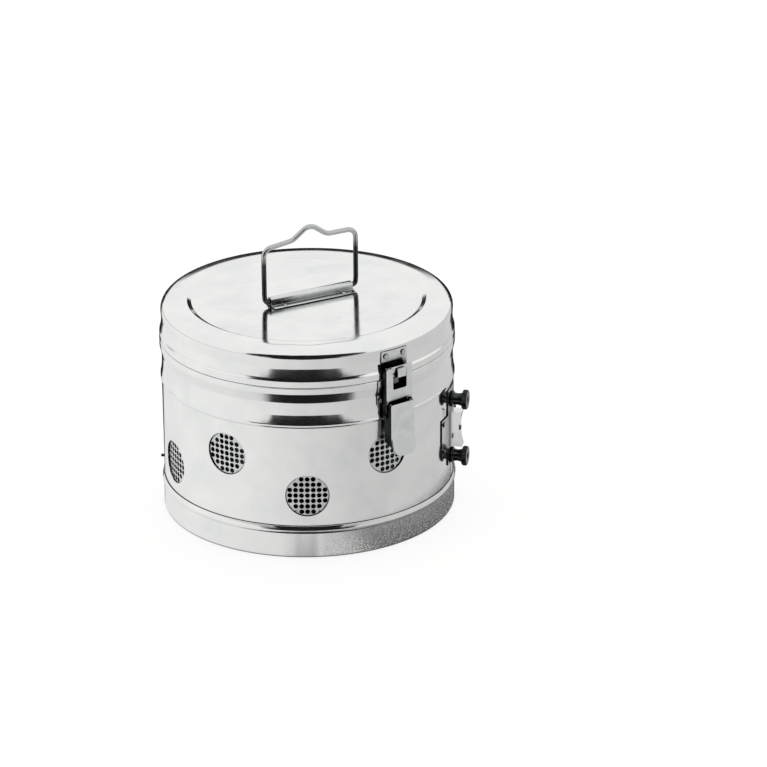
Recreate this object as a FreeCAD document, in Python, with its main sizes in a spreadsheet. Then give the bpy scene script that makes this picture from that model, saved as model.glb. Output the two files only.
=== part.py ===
import FreeCAD, Part
import math
import os
import Sketcher

# Dressing drum for steam sterilizing: a round sheet-metal drum with a hinged lid, a wire bail,
# a draw latch, a turning vent band held by two thumb nuts, and a T-shaped divider inside.
# Frame: +Z up, origin on the drum's axis at the resting plane, latch at -Y, lid hinge at +Y.
# Lengths are millimetres and angles are degrees.

Vector = FreeCAD.Vector
Z_AXIS = Vector(0, 0, 1)
FRONT = -90.0
REAR = 90.0
HALF_TURN = 180.0
RIVET_SIDES = 12

SIZES = [
    ("DrumRadius", 145.0, "outside of the turning band, and widest part of the lid"),
    ("BandSheet", 1.0, "sheet of the turning band"),
    ("BandGap", 0.35, "running gap between band and shell"),
    ("ShellSheet", 0.8, "sheet of the shell wall"),
    ("CollarSheet", 0.8, "sheet of the collar"),
    ("LidSheet", 1.0, "sheet of the lid"),
    ("RunGap", 0.3, "gap between pieces that move past each other"),
    ("FootSheet", 0.8, "lip of the foot ring"),
    ("FootProud", 0.9, "how far the foot ring stands out of the band"),
    ("FootFlange", 6.5, "width of the flange that the drum stands on"),
    ("FootFlangeSheet", 1.0, "thickness of that flange"),
    ("FootTop", 25.5, "height where the foot bead starts"),
    ("FootBeadHeight", 7.5, "height of the foot bead"),
    ("FootBeadRise", 1.2, "how far the foot bead stands out"),
    ("LipDepth", 2.3, "how deep a lip laps the edge of the band"),
    ("FloorTop", 18.0, "height of the inside floor"),
    ("FloorSheet", 0.8, "sheet of the floor pan"),
    ("FloorSkirt", 10.0, "depth of the floor pan's turned-down edge"),
    ("BandTop", 138.7, "height of the band's upper edge"),
    ("FlareDrop", 26.0, "from the collar's shelf down to where its flare ends"),
    ("FlareDepth", 12.0, "height of the collar's flare"),
    ("CollarBeadHeight", 10.0, "height of the slope up to the collar's bead"),
    ("CollarTop", 178.0, "height of the shelf that carries the lid"),
    ("CollarBeadRise", 1.9, "how far the collar's bead stands out"),
    ("CollarCrestDrop", 6.0, "from the collar's shelf down to where its bead is at its widest"),
    ("NeckHeight", 11.0, "height of the neck that guides the lid"),
    ("ShellTop", 157.0, "height of the shell wall"),
    ("LidHeight", 39.6, "height of the lid"),
    ("LidLift", 0.4, "gap between the lid's edge and the shelf"),
    ("LidFlare", 1.9, "how far the lid's edge flares out"),
    ("LidFlareHeight", 7.6, "height of that flare"),
    ("LidTaper", 1.0, "how far the lid's wall lies inside its shoulder"),
    ("LidTaperHeight", 4.0, "height over which the shoulder narrows to the wall"),
    ("ShoulderRound", 7.5, "radius of the lid's shoulder"),
    ("PanelMargin", 31.0, "width of the lid's rim round its sunk panel"),
    ("PanelStep", 5.0, "depth of the sunk panel"),
    ("WindowPlaces", 11.0, "places round the band for windows, one of them taken by the clasp"),
    ("WindowRadius", 21.5, "radius of a window in the band"),
    ("WindowFirst", -93.1, "angle of the first window"),
    ("WindowLow", 65.0, "height of the low windows"),
    ("WindowHigh", 100.5, "height of the high windows"),
    ("ScreenRadius", 21.0, "radius of a perforated screen"),
    ("PunchPitch", 7.5, "spacing of the perforations"),
    ("PunchWidth", 5.0, "width of a perforation"),
    ("BandTurn", 17.0, "turn that closes the windows"),
    ("StopAngle", 141.7, "angle of the stop pin"),
    ("StopHeight", 43.0, "height of the stop pin"),
    ("StopRadius", 1.5, "radius of the stop pin"),
    ("StopReach", 4.0, "how far the stop pin stands out of the band"),
    ("SlotGap", 0.5, "gap round the stop pin in its slot"),
    ("ClaspAngle", -49.3, "angle of the clasp"),
    ("ClaspPlateWidth", 60.0, "width of the clasp's base plate"),
    ("ClaspNeckWidth", 26.0, "width of the base plate's ends"),
    ("ClaspPlateLow", 52.0, "lower end of the base plate"),
    ("ClaspPlateHigh", 132.0, "upper end of the base plate"),
    ("ClaspWingLow", 68.0, "lower edge of the wide middle"),
    ("ClaspWingHigh", 106.0, "upper edge of the wide middle"),
    ("ClaspSheet", 1.2, "sheet of the base plate"),
    ("BandSplit", 2.0, "split in the band under the clasp"),
    ("StudHigh", 119.0, "height of the upper stud"),
    ("StudLow", 58.5, "height of the lower stud"),
    ("StudRadius", 2.5, "radius of a stud"),
    ("StudLength", 14.5, "length of a stud"),
    ("NutGap", 0.05, "running gap between stud and nut"),
    ("NutFootRadius", 8.0, "radius of the nut's foot"),
    ("NutFootHeight", 1.6, "height of the nut's foot"),
    ("NutNeckRadius", 6.5, "radius of the nut's neck"),
    ("NutNeckHeight", 9.4, "height of the nut's neck"),
    ("NutHeadRadius", 10.5, "radius of the nut's knurled head"),
    ("NutHeadHeight", 5.2, "height of the nut's knurled head"),
    ("BridgeHalf", 18.5, "half the height of the grip between the nuts"),
    ("BridgeReach", 11.5, "how far the grip stands out at its ends"),
    ("BridgeWaist", 8.5, "how far the grip stands out at its waist"),
    ("BridgeWidth", 11.0, "width of the grip"),
    ("LatchSheet", 1.2, "sheet of the latch"),
    ("LeverWidth", 28.0, "width of the latch lever"),
    ("LeverPivotOut", 9.0, "how far the lever's pivot lies outside the band"),
    ("LeverPivotDrop", 26.5, "how far the lever's pivot lies below the collar's shelf"),
    ("LinkPivotIn", 4.2, "how far the link's pivot lies inside the lever's"),
    ("LinkPivotDrop", 9.0, "how far the link's pivot lies below the lever's"),
    ("LeverFront", 5.0, "from the lever's pivot out to its front face"),
    ("LeverRise", 3.5, "from the lever's pivot up to its top edge"),
    ("LeverFoldDrop", 31.5, "from the lever's pivot down to where its tip bends out"),
    ("LeverTipLength", 17.5, "height of the lever's tip below that bend"),
    ("LeverTipOut", 4.5, "how far the tip bends out"),
    ("LeverTipRound", 9.0, "rounding of the tip's corners"),
    ("PivotRadius", 2.0, "radius of the lever's pivot rivets"),
    ("LinkPinRadius", 1.75, "radius of the link's pin"),
    ("PinGap", 0.05, "running gap round a pin"),
    ("LinkFront", 3.9, "from the link's pivot out to the link's front face"),
    ("LinkBorder", 7.5, "sheet left above the link's slot"),
    ("LinkFootRise", 7.0, "from the lever's pivot up to the lower edge of the link's face"),
    ("HookPlay", 1.2, "play between the hook's floor and the link's slot"),
    ("LinkSlotHeight", 16.0, "height of the link's slot"),
    ("LinkSlotWidth", 16.0, "width of the link's slot"),
    ("LinkFlange", 5.0, "depth of the link's side flanges"),
    ("LinkEye", 3.2, "radius of the eyes of the link"),
    ("BracketWidth", 40.0, "width of the latch bracket"),
    ("HookPlateWidth", 30.0, "width of the strike plate"),
    ("HookPlateRise", 9.5, "how far the strike plate lies above the collar's shelf"),
    ("HookPlateHeight", 18.5, "height of the strike plate"),
    ("HookWidth", 9.6, "width of the hook"),
    ("HookSheet", 1.5, "thickness of the hook"),
    ("HookDrop", 4.2, "how far the hook's floor lies below the strike plate"),
    ("HookOut", 12.3, "how far the hook's nose stands out of the band"),
    ("HookNoseRise", 7.2, "height of the hook's nose above its floor"),
    ("HingeOut", 7.0, "how far the hinge's axis lies outside the band"),
    ("HingeRise", 0.2, "how far the hinge's axis lies above the collar's shelf"),
    ("HingeWidth", 40.0, "width of the lid's hinge"),
    ("KnuckleRadius", 3.2, "radius of the hinge's knuckles"),
    ("HingePinRadius", 1.5, "radius of the hinge's pin"),
    ("HingePinHead", 1.0, "how far the heads of the hinge's pin stand out"),
    ("HingeSheet", 1.2, "sheet of the hinge's leaves"),
    ("HingeLeafHeight", 15.0, "height of the lid's leaf"),
    ("HingeLeafRise", 11.0, "how far the lid's leaf lies above the collar's shelf"),
    ("RivetHead", 2.4, "radius of a rivet's head"),
    ("RivetRise", 1.3, "height of a rivet's head"),
    ("BailSkew", -7.3, "angle of the bail's bar"),
    ("BailWire", 5.0, "diameter of the bail's wire"),
    ("BailSpan", 102.0, "distance between the bail's legs"),
    ("BailAxisRise", 5.2, "height of the bail's axis above the lid's panel"),
    ("BailGrip", 58.5, "height of the grip above the axis"),
    ("BailHump", 12.0, "height of the hump in the grip"),
    ("BailHumpHalf", 19.0, "half the width of the hump"),
    ("BailCorner", 8.0, "radius of the bail's corners"),
    ("BailKinkRise", 8.0, "height of the kink at the foot of a leg"),
    ("BailKinkOut", 4.9, "length of straight wire between the strap and the kink"),
    ("BailTail", 22.0, "length of wire inside the strap at each side"),
    ("StrapShift", 4.4, "how far the strap lies off the lid's middle, along its length"),
    ("StrapLength", 91.0, "length of the strap that holds the bail"),
    ("StrapWidth", 24.0, "width of the strap's flanges"),
    ("StrapSheet", 1.2, "sheet of the strap"),
    ("StrapTubeGap", 0.1, "running gap between wire and strap"),
    ("DividerAngle", -58.0, "direction of the long divider, clear of the windows"),
    ("DividerSheet", 1.0, "sheet of the dividers"),
    ("DividerTop", 170.0, "height of the dividers' upper edge"),
    ("DividerGap", 0.3, "gap round a divider in its channels"),
    ("DividerEase", 0.2, "play between a divider's end and its channel"),
    ("HemMargin", 3.0, "from a divider's hem to the channel beside or below it"),
    ("DividerHem", 6.0, "height of the folded hem on a divider"),
    ("ChannelSheet", 0.8, "sheet of the divider channels"),
    ("ChannelDepth", 9.0, "depth of a divider channel"),
]

# Sizes that follow from others.
DERIVED = [
    ("FlareTop", "=CollarTop - FlareDrop", "height where the collar's flare ends"),
    ("CollarCrest", "=CollarTop - CollarCrestDrop", "height where the collar's bead is at its widest"),
    ("CollarBeadFoot", "=CollarCrest - CollarBeadHeight", "height where the collar's bead starts"),
    ("FootRadius", "=DrumRadius + FootProud", "outside of the foot ring"),
    ("PanelRadius", "=DrumRadius - PanelMargin", "radius of the lid's sunk panel"),
    ("LeverPivotReach", "=DrumRadius + LeverPivotOut", "distance of the lever's pivot from the axis"),
    ("LeverPivotHeight", "=CollarTop - LeverPivotDrop", "height of the lever's pivot"),
    ("LeverFold", "=LeverPivotHeight - LeverFoldDrop", "height where the lever's tip bends out"),
    ("LeverTip", "=LeverFold - LeverTipLength", "height of the lever's tip"),
    ("HookPlateLow", "=CollarTop + HookPlateRise", "lower edge of the strike plate"),
    ("HookPlateHigh", "=HookPlateLow + HookPlateHeight", "upper edge of the strike plate"),
    ("HookFloor", "=HookPlateLow - HookDrop", "height of the hook's floor"),
    ("HookReach", "=DrumRadius + HookOut", "distance of the hook's nose from the drum's axis"),
    ("HookNose", "=HookFloor + HookNoseRise", "height of the hook's nose"),
    ("LinkSlotTop", "=HookFloor + HookPlay", "upper edge of the link's slot"),
    ("LinkTop", "=LinkSlotTop + LinkBorder", "height of the link's upper edge"),
    ("LinkFoot", "=LeverPivotHeight + LinkFootRise", "height of the lower edge of the link's face"),
    ("HingeReach", "=DrumRadius + HingeOut", "distance of the lid's hinge axis from the drum's axis"),
    ("HingeHeight", "=CollarTop + HingeRise", "height of the lid's hinge axis"),
    ("HingeLeafLow", "=CollarTop + HingeLeafRise", "lower edge of the lid's leaf"),
    ("HingeLeafTop", "=HingeLeafLow + HingeLeafHeight", "upper edge of the lid's leaf"),
]

doc = FreeCAD.newDocument("dressing_drum")
sheet = doc.addObject("Spreadsheet::Sheet", "Sizes")
for row, (alias, value, note) in enumerate(SIZES + DERIVED, start=1):
    sheet.set(f"A{row}", alias)
    sheet.set(f"B{row}", str(value))
    sheet.setAlias(f"B{row}", alias)
    sheet.set(f"C{row}", note)
doc.recompute()

nodes = []


def size(expression):
    """Return what an expression on the sheet's aliases comes to."""
    return float(sheet.evalExpression(expression))


def bound(expression):
    """Return the expression with each alias written as a cell of the sheet."""
    words = []
    word = ""
    for letter in expression + " ":
        if letter.isalnum():
            word += letter
            continue
        words.append("Sizes." + word if word and word[0].isupper() else word)
        words.append(letter)
        word = ""
    return "".join(words).strip()


def keep(thing, angle=0.0, centre=Vector(0, 0, 0)):
    """Keep a finished sub-part, turned about the drum's axis and moved by centre."""
    place = FreeCAD.Placement(centre, FreeCAD.Rotation(Z_AXIS, angle))
    thing.Placement = place.multiply(thing.Placement)
    nodes.append(thing)
    return thing


def new_body(name):
    body = doc.addObject("PartDesign::Body", name)
    body.Label = name
    return body


def sketch_on(body, name, role):
    """Start a sketch on one of the body's own origin planes."""
    drawing = body.newObject("Sketcher::SketchObject", name)
    plane = [o for o in body.Origin.OriginFeatures if o.Role == role][0]
    drawing.AttachmentSupport = (plane, "")
    drawing.MapMode = "FlatFace"
    return drawing


def outline(body, name, corners, role="XZ_Plane"):
    """Draw a closed outline whose corners are bound to the sheet.

    A corner is (x, y) for a straight edge to the next corner, or (x, y, radius) for an arc to it
    that bulges to the left of its chord, or to the right where the radius has a minus sign.
    """
    drawing = sketch_on(body, name, role)
    points = [Vector(size(c[0]), size(c[1]), 0) for c in corners]
    starts = []
    for i, corner in enumerate(corners):
        a = points[i]
        b = points[(i + 1) % len(points)]
        if len(corner) == 2:
            edge = drawing.addGeometry(Part.LineSegment(a, b), False)
            starts.append((edge, 1, 2))
            continue
        radius = size(corner[2])
        chord = b - a
        left = Vector(-chord.y, chord.x, 0).normalize()
        rise = abs(radius) - math.sqrt(radius ** 2 - chord.Length ** 2 / 4)
        middle = (a + b) * 0.5 + left * math.copysign(rise, radius)
        edge = drawing.addGeometry(Part.Arc(a, middle, b), False)
        forward = drawing.getPoint(edge, 1).distanceToPoint(a) < 1e-6
        starts.append((edge, 1, 2) if forward else (edge, 2, 1))
        rule = drawing.addConstraint(Sketcher.Constraint("Radius", edge, abs(radius)))
        drawing.setExpression(f"Constraints[{rule}]", bound(f"abs({corner[2]})"))
    for i, corner in enumerate(corners):
        edge, first, _ = starts[i]
        before, _, last = starts[i - 1]
        drawing.addConstraint(Sketcher.Constraint("Coincident", before, last, edge, first))
        for kind, expression in (("DistanceX", corner[0]), ("DistanceY", corner[1])):
            at = size(expression)
            rule = drawing.addConstraint(Sketcher.Constraint(kind, -1, 1, edge, first, at))
            drawing.setExpression(f"Constraints[{rule}]", bound(expression))
    return drawing


def ring(body, name, corners, kind="Revolution", width=None, reach=None):
    """Turn an outline of (radius, height) corners about the drum's axis.

    With a width, the ring is only a sector that is that wide on an arc of radius reach.
    """
    drawing = outline(body, name + "_outline", corners)
    turned = body.newObject("PartDesign::" + kind, name)
    turned.Profile = (drawing, [""])
    turned.ReferenceAxis = (drawing, ["V_Axis"])
    turned.Angle = 360
    if width:
        turned.Midplane = True
        turned.setExpression("Angle", bound(f"({width}) / ({reach}) * 180 / pi"))
    doc.recompute()
    return turned


def slab(body, name, corners, width, kind="Pad", role="XZ_Plane"):
    """Give an outline a width, half of it on each side of its plane, as material or as a cut."""
    drawing = outline(body, name + "_outline", corners, role)
    made = body.newObject("PartDesign::" + kind, name)
    made.Profile = (drawing, [""])
    made.SideType = "Symmetric"
    made.setExpression("Length", bound(width))
    doc.recompute()
    return made


def round_bar(body, name, reach, height, radius, width, kind="Pad"):
    """Make a round bar, or bore a hole, across the body's XZ plane."""
    drawing = sketch_on(body, name + "_circle", "XZ_Plane")
    centre = Vector(size(reach), size(height), 0)
    edge = drawing.addGeometry(Part.Circle(centre, Z_AXIS, size(radius)), False)
    rules = [
        (Sketcher.Constraint("DistanceX", -1, 1, edge, 3, centre.x), reach),
        (Sketcher.Constraint("DistanceY", -1, 1, edge, 3, centre.y), height),
        (Sketcher.Constraint("Radius", edge, size(radius)), radius),
    ]
    for rule, expression in rules:
        index = drawing.addConstraint(rule)
        drawing.setExpression(f"Constraints[{index}]", bound(expression))
    made = body.newObject("PartDesign::" + kind, name)
    made.Profile = (drawing, [""])
    made.SideType = "Symmetric"
    made.setExpression("Length", bound(width))
    doc.recompute()
    return made


def feature(name, shape):
    """Keep a shape that was made from the sheet's sizes as a sub-part of the document."""
    thing = doc.addObject("Part::Feature", name)
    thing.Label = name
    thing.Shape = shape
    return thing


def radial(shape, angle, height, reach=0.0):
    """Lay a shape that points along +Z along the drum's radius, at an angle, height and reach."""
    placed = shape.copy()
    turn = FreeCAD.Rotation(Z_AXIS, angle) * FreeCAD.Rotation(Vector(0, 1, 0), 90)
    out = FreeCAD.Rotation(Z_AXIS, angle).multVec(Vector(reach, 0, 0))
    placed.Placement = FreeCAD.Placement(out + Vector(0, 0, height), turn)
    return placed


def rivet_head():
    """One low head with flat sides."""
    radius = Vector(size("RivetHead"), 0, 0)
    spokes = [FreeCAD.Rotation(Z_AXIS, 360 * i / RIVET_SIDES) for i in range(RIVET_SIDES + 1)]
    rim = Part.makePolygon([spoke.multVec(radius) for spoke in spokes])
    return Part.Face(rim).extrude(Z_AXIS * size("RivetRise"))


def rivets(name, places):
    """A set of rivet heads at (angle, height, reach)."""
    heads = [radial(rivet_head(), *place) for place in places]
    return keep(feature(name, Part.makeCompound(heads)))


def spread(width, reach):
    """The angle that a width takes up on an arc of radius reach."""
    return math.degrees(width / reach)


def swelling(start, end, rise, steps):
    """Corners from start up to the one before end, on a low curve that stands out by rise."""
    corners = []
    for i in range(steps):
        share = i / steps
        swell = 4 * share * (1 - share)
        corners.append((
            f"({start[0]}) * {1 - share:.6f} + ({end[0]}) * {share:.6f} + {rise} * {swell:.6f}",
            f"({start[1]}) * {1 - share:.6f} + ({end[1]}) * {share:.6f}",
        ))
    return corners


def quarter(centre, radius, steps):
    """Corners of a quarter round, from straight out of its centre to straight above it."""
    corners = []
    for i in range(steps + 1):
        angle = math.pi / 2 * i / steps
        corners.append((
            f"{centre[0]} + ({radius}) * {math.cos(angle):.6f}",
            f"{centre[1]} + ({radius}) * {math.sin(angle):.6f}",
        ))
    return corners


# Radii and heights that several pieces share, each an expression on the sheet.
BAND_IN = "DrumRadius - BandSheet"
SHELL_OUT = "DrumRadius - BandSheet - BandGap"
SHELL_IN = "DrumRadius - BandSheet - BandGap - ShellSheet"
LIP_IN = "DrumRadius + RunGap"
FOOT_BEAD_TOP = "FootTop + FootBeadHeight"
FOOT_LIP = "DrumRadius + RunGap + FootSheet"
BAND_LOW = "FootTop + FootBeadHeight - LipDepth"
COLLAR_OUT = SHELL_OUT + " + CollarSheet"
COLLAR_LIP = "DrumRadius + RunGap + CollarSheet"
COLLAR_LOW = "BandTop - LipDepth"
COLLAR_CREST = COLLAR_OUT + " + CollarBeadRise"
LID_LOW = "CollarTop + LidLift"
LID_TOP = "CollarTop + LidLift + LidHeight"
LID_WAIST = "DrumRadius - LidTaper"
LID_WAIST_HEIGHT = "CollarTop + LidLift + LidFlareHeight"
SHOULDER_FOOT = "CollarTop + LidLift + LidHeight - ShoulderRound"
NECK_OUT = "DrumRadius - LidTaper - LidSheet - LidLift"
PANEL_TOP = "CollarTop + LidLift + LidHeight - PanelStep"
LINK_REACH = "LeverPivotReach - LinkPivotIn"
LINK_HEIGHT = "LeverPivotHeight - LinkPivotDrop"


# Foot ring: the wall and flange that the drum stands on, with a bead that laps the band's edge.
foot_ring = new_body("foot_ring")
ring(foot_ring, "foot_wall", [
    ("FootRadius - FootFlange", "0"),
    ("FootRadius", "0"),
    *swelling(("FootRadius", "FootTop"), (FOOT_LIP, FOOT_BEAD_TOP), "FootBeadRise", 3),
    (FOOT_LIP, FOOT_BEAD_TOP),
    (LIP_IN, FOOT_BEAD_TOP),
    (LIP_IN, BAND_LOW + " - RunGap"),
    (SHELL_OUT, BAND_LOW + " - RunGap"),
    (SHELL_OUT, "FootFlangeSheet"),
    ("FootRadius - FootFlange", "FootFlangeSheet"),
])
keep(foot_ring)

# Floor pan: the drum's inside floor, with its edge turned down along the shell.
floor_pan = new_body("floor_pan")
ring(floor_pan, "floor_dish", [
    ("0", "FloorTop - FloorSheet"),
    (SHELL_IN + " - FloorSheet", "FloorTop - FloorSheet"),
    (SHELL_IN + " - FloorSheet", "FloorTop - FloorSkirt"),
    (SHELL_IN, "FloorTop - FloorSkirt"),
    (SHELL_IN, "FloorTop"),
    ("0", "FloorTop"),
])
keep(floor_pan)

# Collar: laps the band's upper edge, carries the lid on its beaded shelf and guides it by a neck.
collar = new_body("collar")
ring(collar, "collar_wall", [
    (LIP_IN, COLLAR_LOW),
    (COLLAR_LIP, COLLAR_LOW),
    (COLLAR_LIP, "FlareTop - FlareDepth"),
    (COLLAR_OUT, "FlareTop"),
    (COLLAR_OUT, "CollarBeadFoot"),
    (COLLAR_CREST, "CollarCrest"),
    (COLLAR_CREST, "CollarTop"),
    (NECK_OUT, "CollarTop"),
    (NECK_OUT, "CollarTop + NeckHeight"),
    (NECK_OUT + " - CollarSheet", "CollarTop + NeckHeight"),
    (NECK_OUT + " - CollarSheet", "CollarTop - CollarSheet"),
    (COLLAR_CREST + " - CollarSheet", "CollarTop - CollarSheet"),
    (COLLAR_CREST + " - CollarSheet", "CollarCrest"),
    (SHELL_OUT, "CollarBeadFoot"),
    (SHELL_OUT, "BandTop + RunGap + CollarSheet"),
    (LIP_IN, "BandTop + RunGap"),
])
keep(collar)


# Cuts through the wall start inside it and end outside it.
CUT_START = "DrumRadius * 0.9"
CUT_LENGTH = "DrumRadius * 0.2"


# Windows: radial cuts through a wall at the places round the band, alternately high and low.
def window_places():
    count = int(size("WindowPlaces")) - 1
    pitch = 360 / size("WindowPlaces")
    for i in range(count):
        height = size("WindowLow") if i % 2 else size("WindowHigh")
        yield size("WindowFirst") - i * pitch, height


def radial_bores(radius):
    """Solid rods through every window place, to cut a wall or to cut screens out of it."""
    rod = Part.makeCylinder(radius, size(CUT_LENGTH))
    return [radial(rod, angle, height, size(CUT_START)) for angle, height in window_places()]


def tube(inside, outside, low, high):
    outer = Part.makeCylinder(size(outside), size(high) - size(low), Vector(0, 0, size(low)))
    inner = Part.makeCylinder(size(inside), size(high) - size(low), Vector(0, 0, size(low)))
    return outer.cut(inner)


# Shell: the drum's wall, open behind every window.
wall = tube(SHELL_IN, SHELL_OUT, "FootFlangeSheet", "ShellTop")
screen_rods = radial_bores(size("ScreenRadius"))
keep(feature("shell_wall", wall.cut(screen_rods)))


# Vent screens: flat perforated discs seated in the shell's openings. Each has fewer and larger
# punchings than a real one, with four sides each.
def punchings():
    """The rods of one disc: five rows on a square pitch, the outer ones shorter."""
    pitch = size("PunchPitch")
    width = size("PunchWidth")
    rows = [3, 5, 5, 5, 3]
    rods = []
    for j, count in enumerate(rows):
        for i in range(count):
            across = (i - (count - 1) / 2) * pitch
            up = (j - (len(rows) - 1) / 2) * pitch
            corner = Vector(across - width / 2, up - width / 2, 0)
            rods.append(Part.makeBox(width, width, size("ShellSheet"), corner))
    return rods


screen_disc = Part.makeCylinder(size("ScreenRadius"), size("ShellSheet")).cut(punchings())
screen_face = math.sqrt(size(SHELL_OUT) ** 2 - size("ScreenRadius") ** 2)
screen_reach = screen_face - size("ShellSheet")
screens = [radial(screen_disc, angle, height, screen_reach) for angle, height in window_places()]
keep(feature("vent_screens", Part.makeCompound(screens)))

# Turning band: a split ring with windows and a slot for the stop pin.
band = tube(BAND_IN, "DrumRadius", BAND_LOW, "BandTop")
split_corner = Vector(size(CUT_START), -size("BandSplit") / 2, 0)
split = Part.makeBox(size(CUT_LENGTH), size("BandSplit"), size("BandTop"), split_corner)
split.rotate(Vector(0, 0, 0), Z_AXIS, size("ClaspAngle"))
slot_half = size("StopRadius + SlotGap")
slot_turn = size("BandTurn")
slot_bottom = size("StopHeight") - slot_half
slot_sector = Part.makeCylinder(
    size(CUT_START + " + " + CUT_LENGTH), 2 * slot_half, Vector(0, 0, slot_bottom), Z_AXIS, slot_turn
)
slot_sector.rotate(Vector(0, 0, 0), Z_AXIS, size("StopAngle") - slot_turn)
slot_end = Part.makeCylinder(slot_half, size(CUT_LENGTH))
slot_ends = [
    radial(slot_end, size("StopAngle"), size("StopHeight"), size(CUT_START)),
    radial(slot_end, size("StopAngle") - slot_turn, size("StopHeight"), size(CUT_START)),
]
cuts = radial_bores(size("WindowRadius")) + [split, slot_sector] + slot_ends
keep(feature("shutter_band", band.cut(cuts)))

# Stop pin: stands on the shell and reaches through the band's slot.
stop_length = size("BandGap + BandSheet + StopReach")
stop = Part.makeCylinder(size("StopRadius"), stop_length)
stop_pin = radial(stop, size("StopAngle"), size("StopHeight"), size(SHELL_OUT))
keep(feature("band_stop_pin", stop_pin))

# Clasp: a base plate riveted over the band's split, with a stud above and below a grip.
clasp_out = "DrumRadius + ClaspSheet"
clasp_plate = new_body("clasp_plate")
for part_name, width, low, high in (
    ("clasp_strip", "ClaspNeckWidth", "ClaspPlateLow", "ClaspPlateHigh"),
    ("clasp_wings", "ClaspPlateWidth", "ClaspWingLow", "ClaspWingHigh"),
):
    ring(clasp_plate, part_name, [
        ("DrumRadius", low),
        (clasp_out, low),
        (clasp_out, high),
        ("DrumRadius", high),
    ], width=width, reach="DrumRadius")
keep(clasp_plate, size("ClaspAngle"))

wing = spread(size("ClaspPlateWidth") / 2 - 2 * size("RivetHead"), size("DrumRadius"))
wing_heights = (
    size("ClaspWingLow + 2 * RivetHead"),
    size("ClaspWingHigh - 2 * RivetHead"),
)
rivets("clasp_rivets", [
    (size("ClaspAngle") + side * wing, height, size(clasp_out))
    for side in (-1, 1) for height in wing_heights
])

studs = [
    radial(Part.makeCylinder(size("StudRadius"), size("StudLength")), size("ClaspAngle"), size(at),
           size(clasp_out))
    for at in ("StudHigh", "StudLow")
]
keep(feature("clasp_studs", Part.makeCompound(studs)))

grip_middle = "(StudHigh + StudLow) / 2"
waist_depth = "(BridgeReach - BridgeWaist)"
waist_round = f"(BridgeHalf ^ 2 + {waist_depth} ^ 2) / {waist_depth} / 2"
grip = new_body("clasp_grip")
slab(grip, "grip_block", [
    (clasp_out, grip_middle + " - BridgeHalf"),
    (clasp_out + " + BridgeReach", grip_middle + " - BridgeHalf", waist_round),
    (clasp_out + " + BridgeReach", grip_middle + " + BridgeHalf"),
    (clasp_out, grip_middle + " + BridgeHalf"),
], "BridgeWidth")
keep(grip, size("ClaspAngle"))

keep(feature("grip_rivet", radial(
    rivet_head(), size("ClaspAngle"), size(grip_middle),
    size(clasp_out + " + BridgeWaist + RivetHead ^ 2 / (2 * (" + waist_round + "))")
)))


# Thumb nuts: a foot, a waisted neck and a knurled head, bored from below for the stud.
def thumb_nut(name, height):
    bore = size("StudRadius + NutGap")
    depth = size("StudLength")
    levels = [0, size("NutFootHeight"), size("NutFootHeight + NutNeckHeight")]
    nut = Part.makeCylinder(size("NutFootRadius"), size("NutFootHeight"))
    neck = Part.makeCylinder(size("NutNeckRadius"), size("NutNeckHeight"), Vector(0, 0, levels[1]))
    head = Part.makeCylinder(size("NutHeadRadius"), size("NutHeadHeight"), Vector(0, 0, levels[2]))
    hole = Part.makeCylinder(bore, depth)
    nut = nut.fuse([neck, head]).removeSplitter().cut(hole)
    placed = radial(nut, size("ClaspAngle"), height, size(clasp_out + " + RunGap"))
    keep(feature(name, placed))


thumb_nut("upper_thumb_nut", size("StudHigh"))
thumb_nut("lower_thumb_nut", size("StudLow"))

# Lid: a flared edge, a tapered wall, a round shoulder and a sunk panel.
lid_pan = new_body("lid_pan")
ring(lid_pan, "lid_wall", [
    (LID_WAIST + " + LidFlare - LidSheet", LID_LOW),
    (LID_WAIST + " + LidFlare", LID_LOW),
    (LID_WAIST, LID_WAIST_HEIGHT),
    (LID_WAIST, SHOULDER_FOOT + " - LidTaperHeight"),
    *quarter(("DrumRadius - ShoulderRound", SHOULDER_FOOT), "ShoulderRound", 3),
    ("PanelRadius + PanelStep", LID_TOP),
    ("PanelRadius", PANEL_TOP),
    ("0", PANEL_TOP),
    ("0", PANEL_TOP + " - LidSheet"),
    ("PanelRadius + LidSheet / 2", PANEL_TOP + " - LidSheet"),
    ("PanelRadius + PanelStep + LidSheet / 2", LID_TOP + " - LidSheet"),
    *quarter(("DrumRadius - ShoulderRound", SHOULDER_FOOT), "ShoulderRound - LidSheet", 2)[::-1],
    (LID_WAIST + " - LidSheet", SHOULDER_FOOT + " - LidTaperHeight"),
    (LID_WAIST + " - LidSheet", LID_WAIST_HEIGHT),
])
keep(lid_pan)

# Strike plate: riveted to the lid's wall, with a hook that opens upwards.
strike_plate = new_body("strike_plate")
ring(strike_plate, "strike_face", [
    (LID_WAIST, "HookPlateLow"),
    (LID_WAIST + " + LatchSheet", "HookPlateLow"),
    (LID_WAIST + " + LatchSheet", "HookPlateHigh"),
    (LID_WAIST, "HookPlateHigh"),
], width="HookPlateWidth", reach="DrumRadius")
hook_root = LID_WAIST + " + LatchSheet / 2"
hook_back = "DrumRadius + LatchSheet / 2"
slab(strike_plate, "strike_hook", [
    (hook_root, "HookPlateLow + 3 * HookSheet"),
    (hook_root, "HookPlateLow"),
    (hook_back, "HookPlateLow - HookSheet"),
    (hook_back, "HookFloor - HookSheet"),
    ("HookReach", "HookFloor - HookSheet"),
    ("HookReach", "HookNose"),
    ("HookReach - HookSheet", "HookNose"),
    ("HookReach - HookSheet", "HookFloor"),
    (hook_back + " + HookSheet", "HookFloor"),
    (hook_back + " + HookSheet", "HookPlateLow + 3 * HookSheet"),
], "HookWidth")
keep(strike_plate, FRONT)

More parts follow.
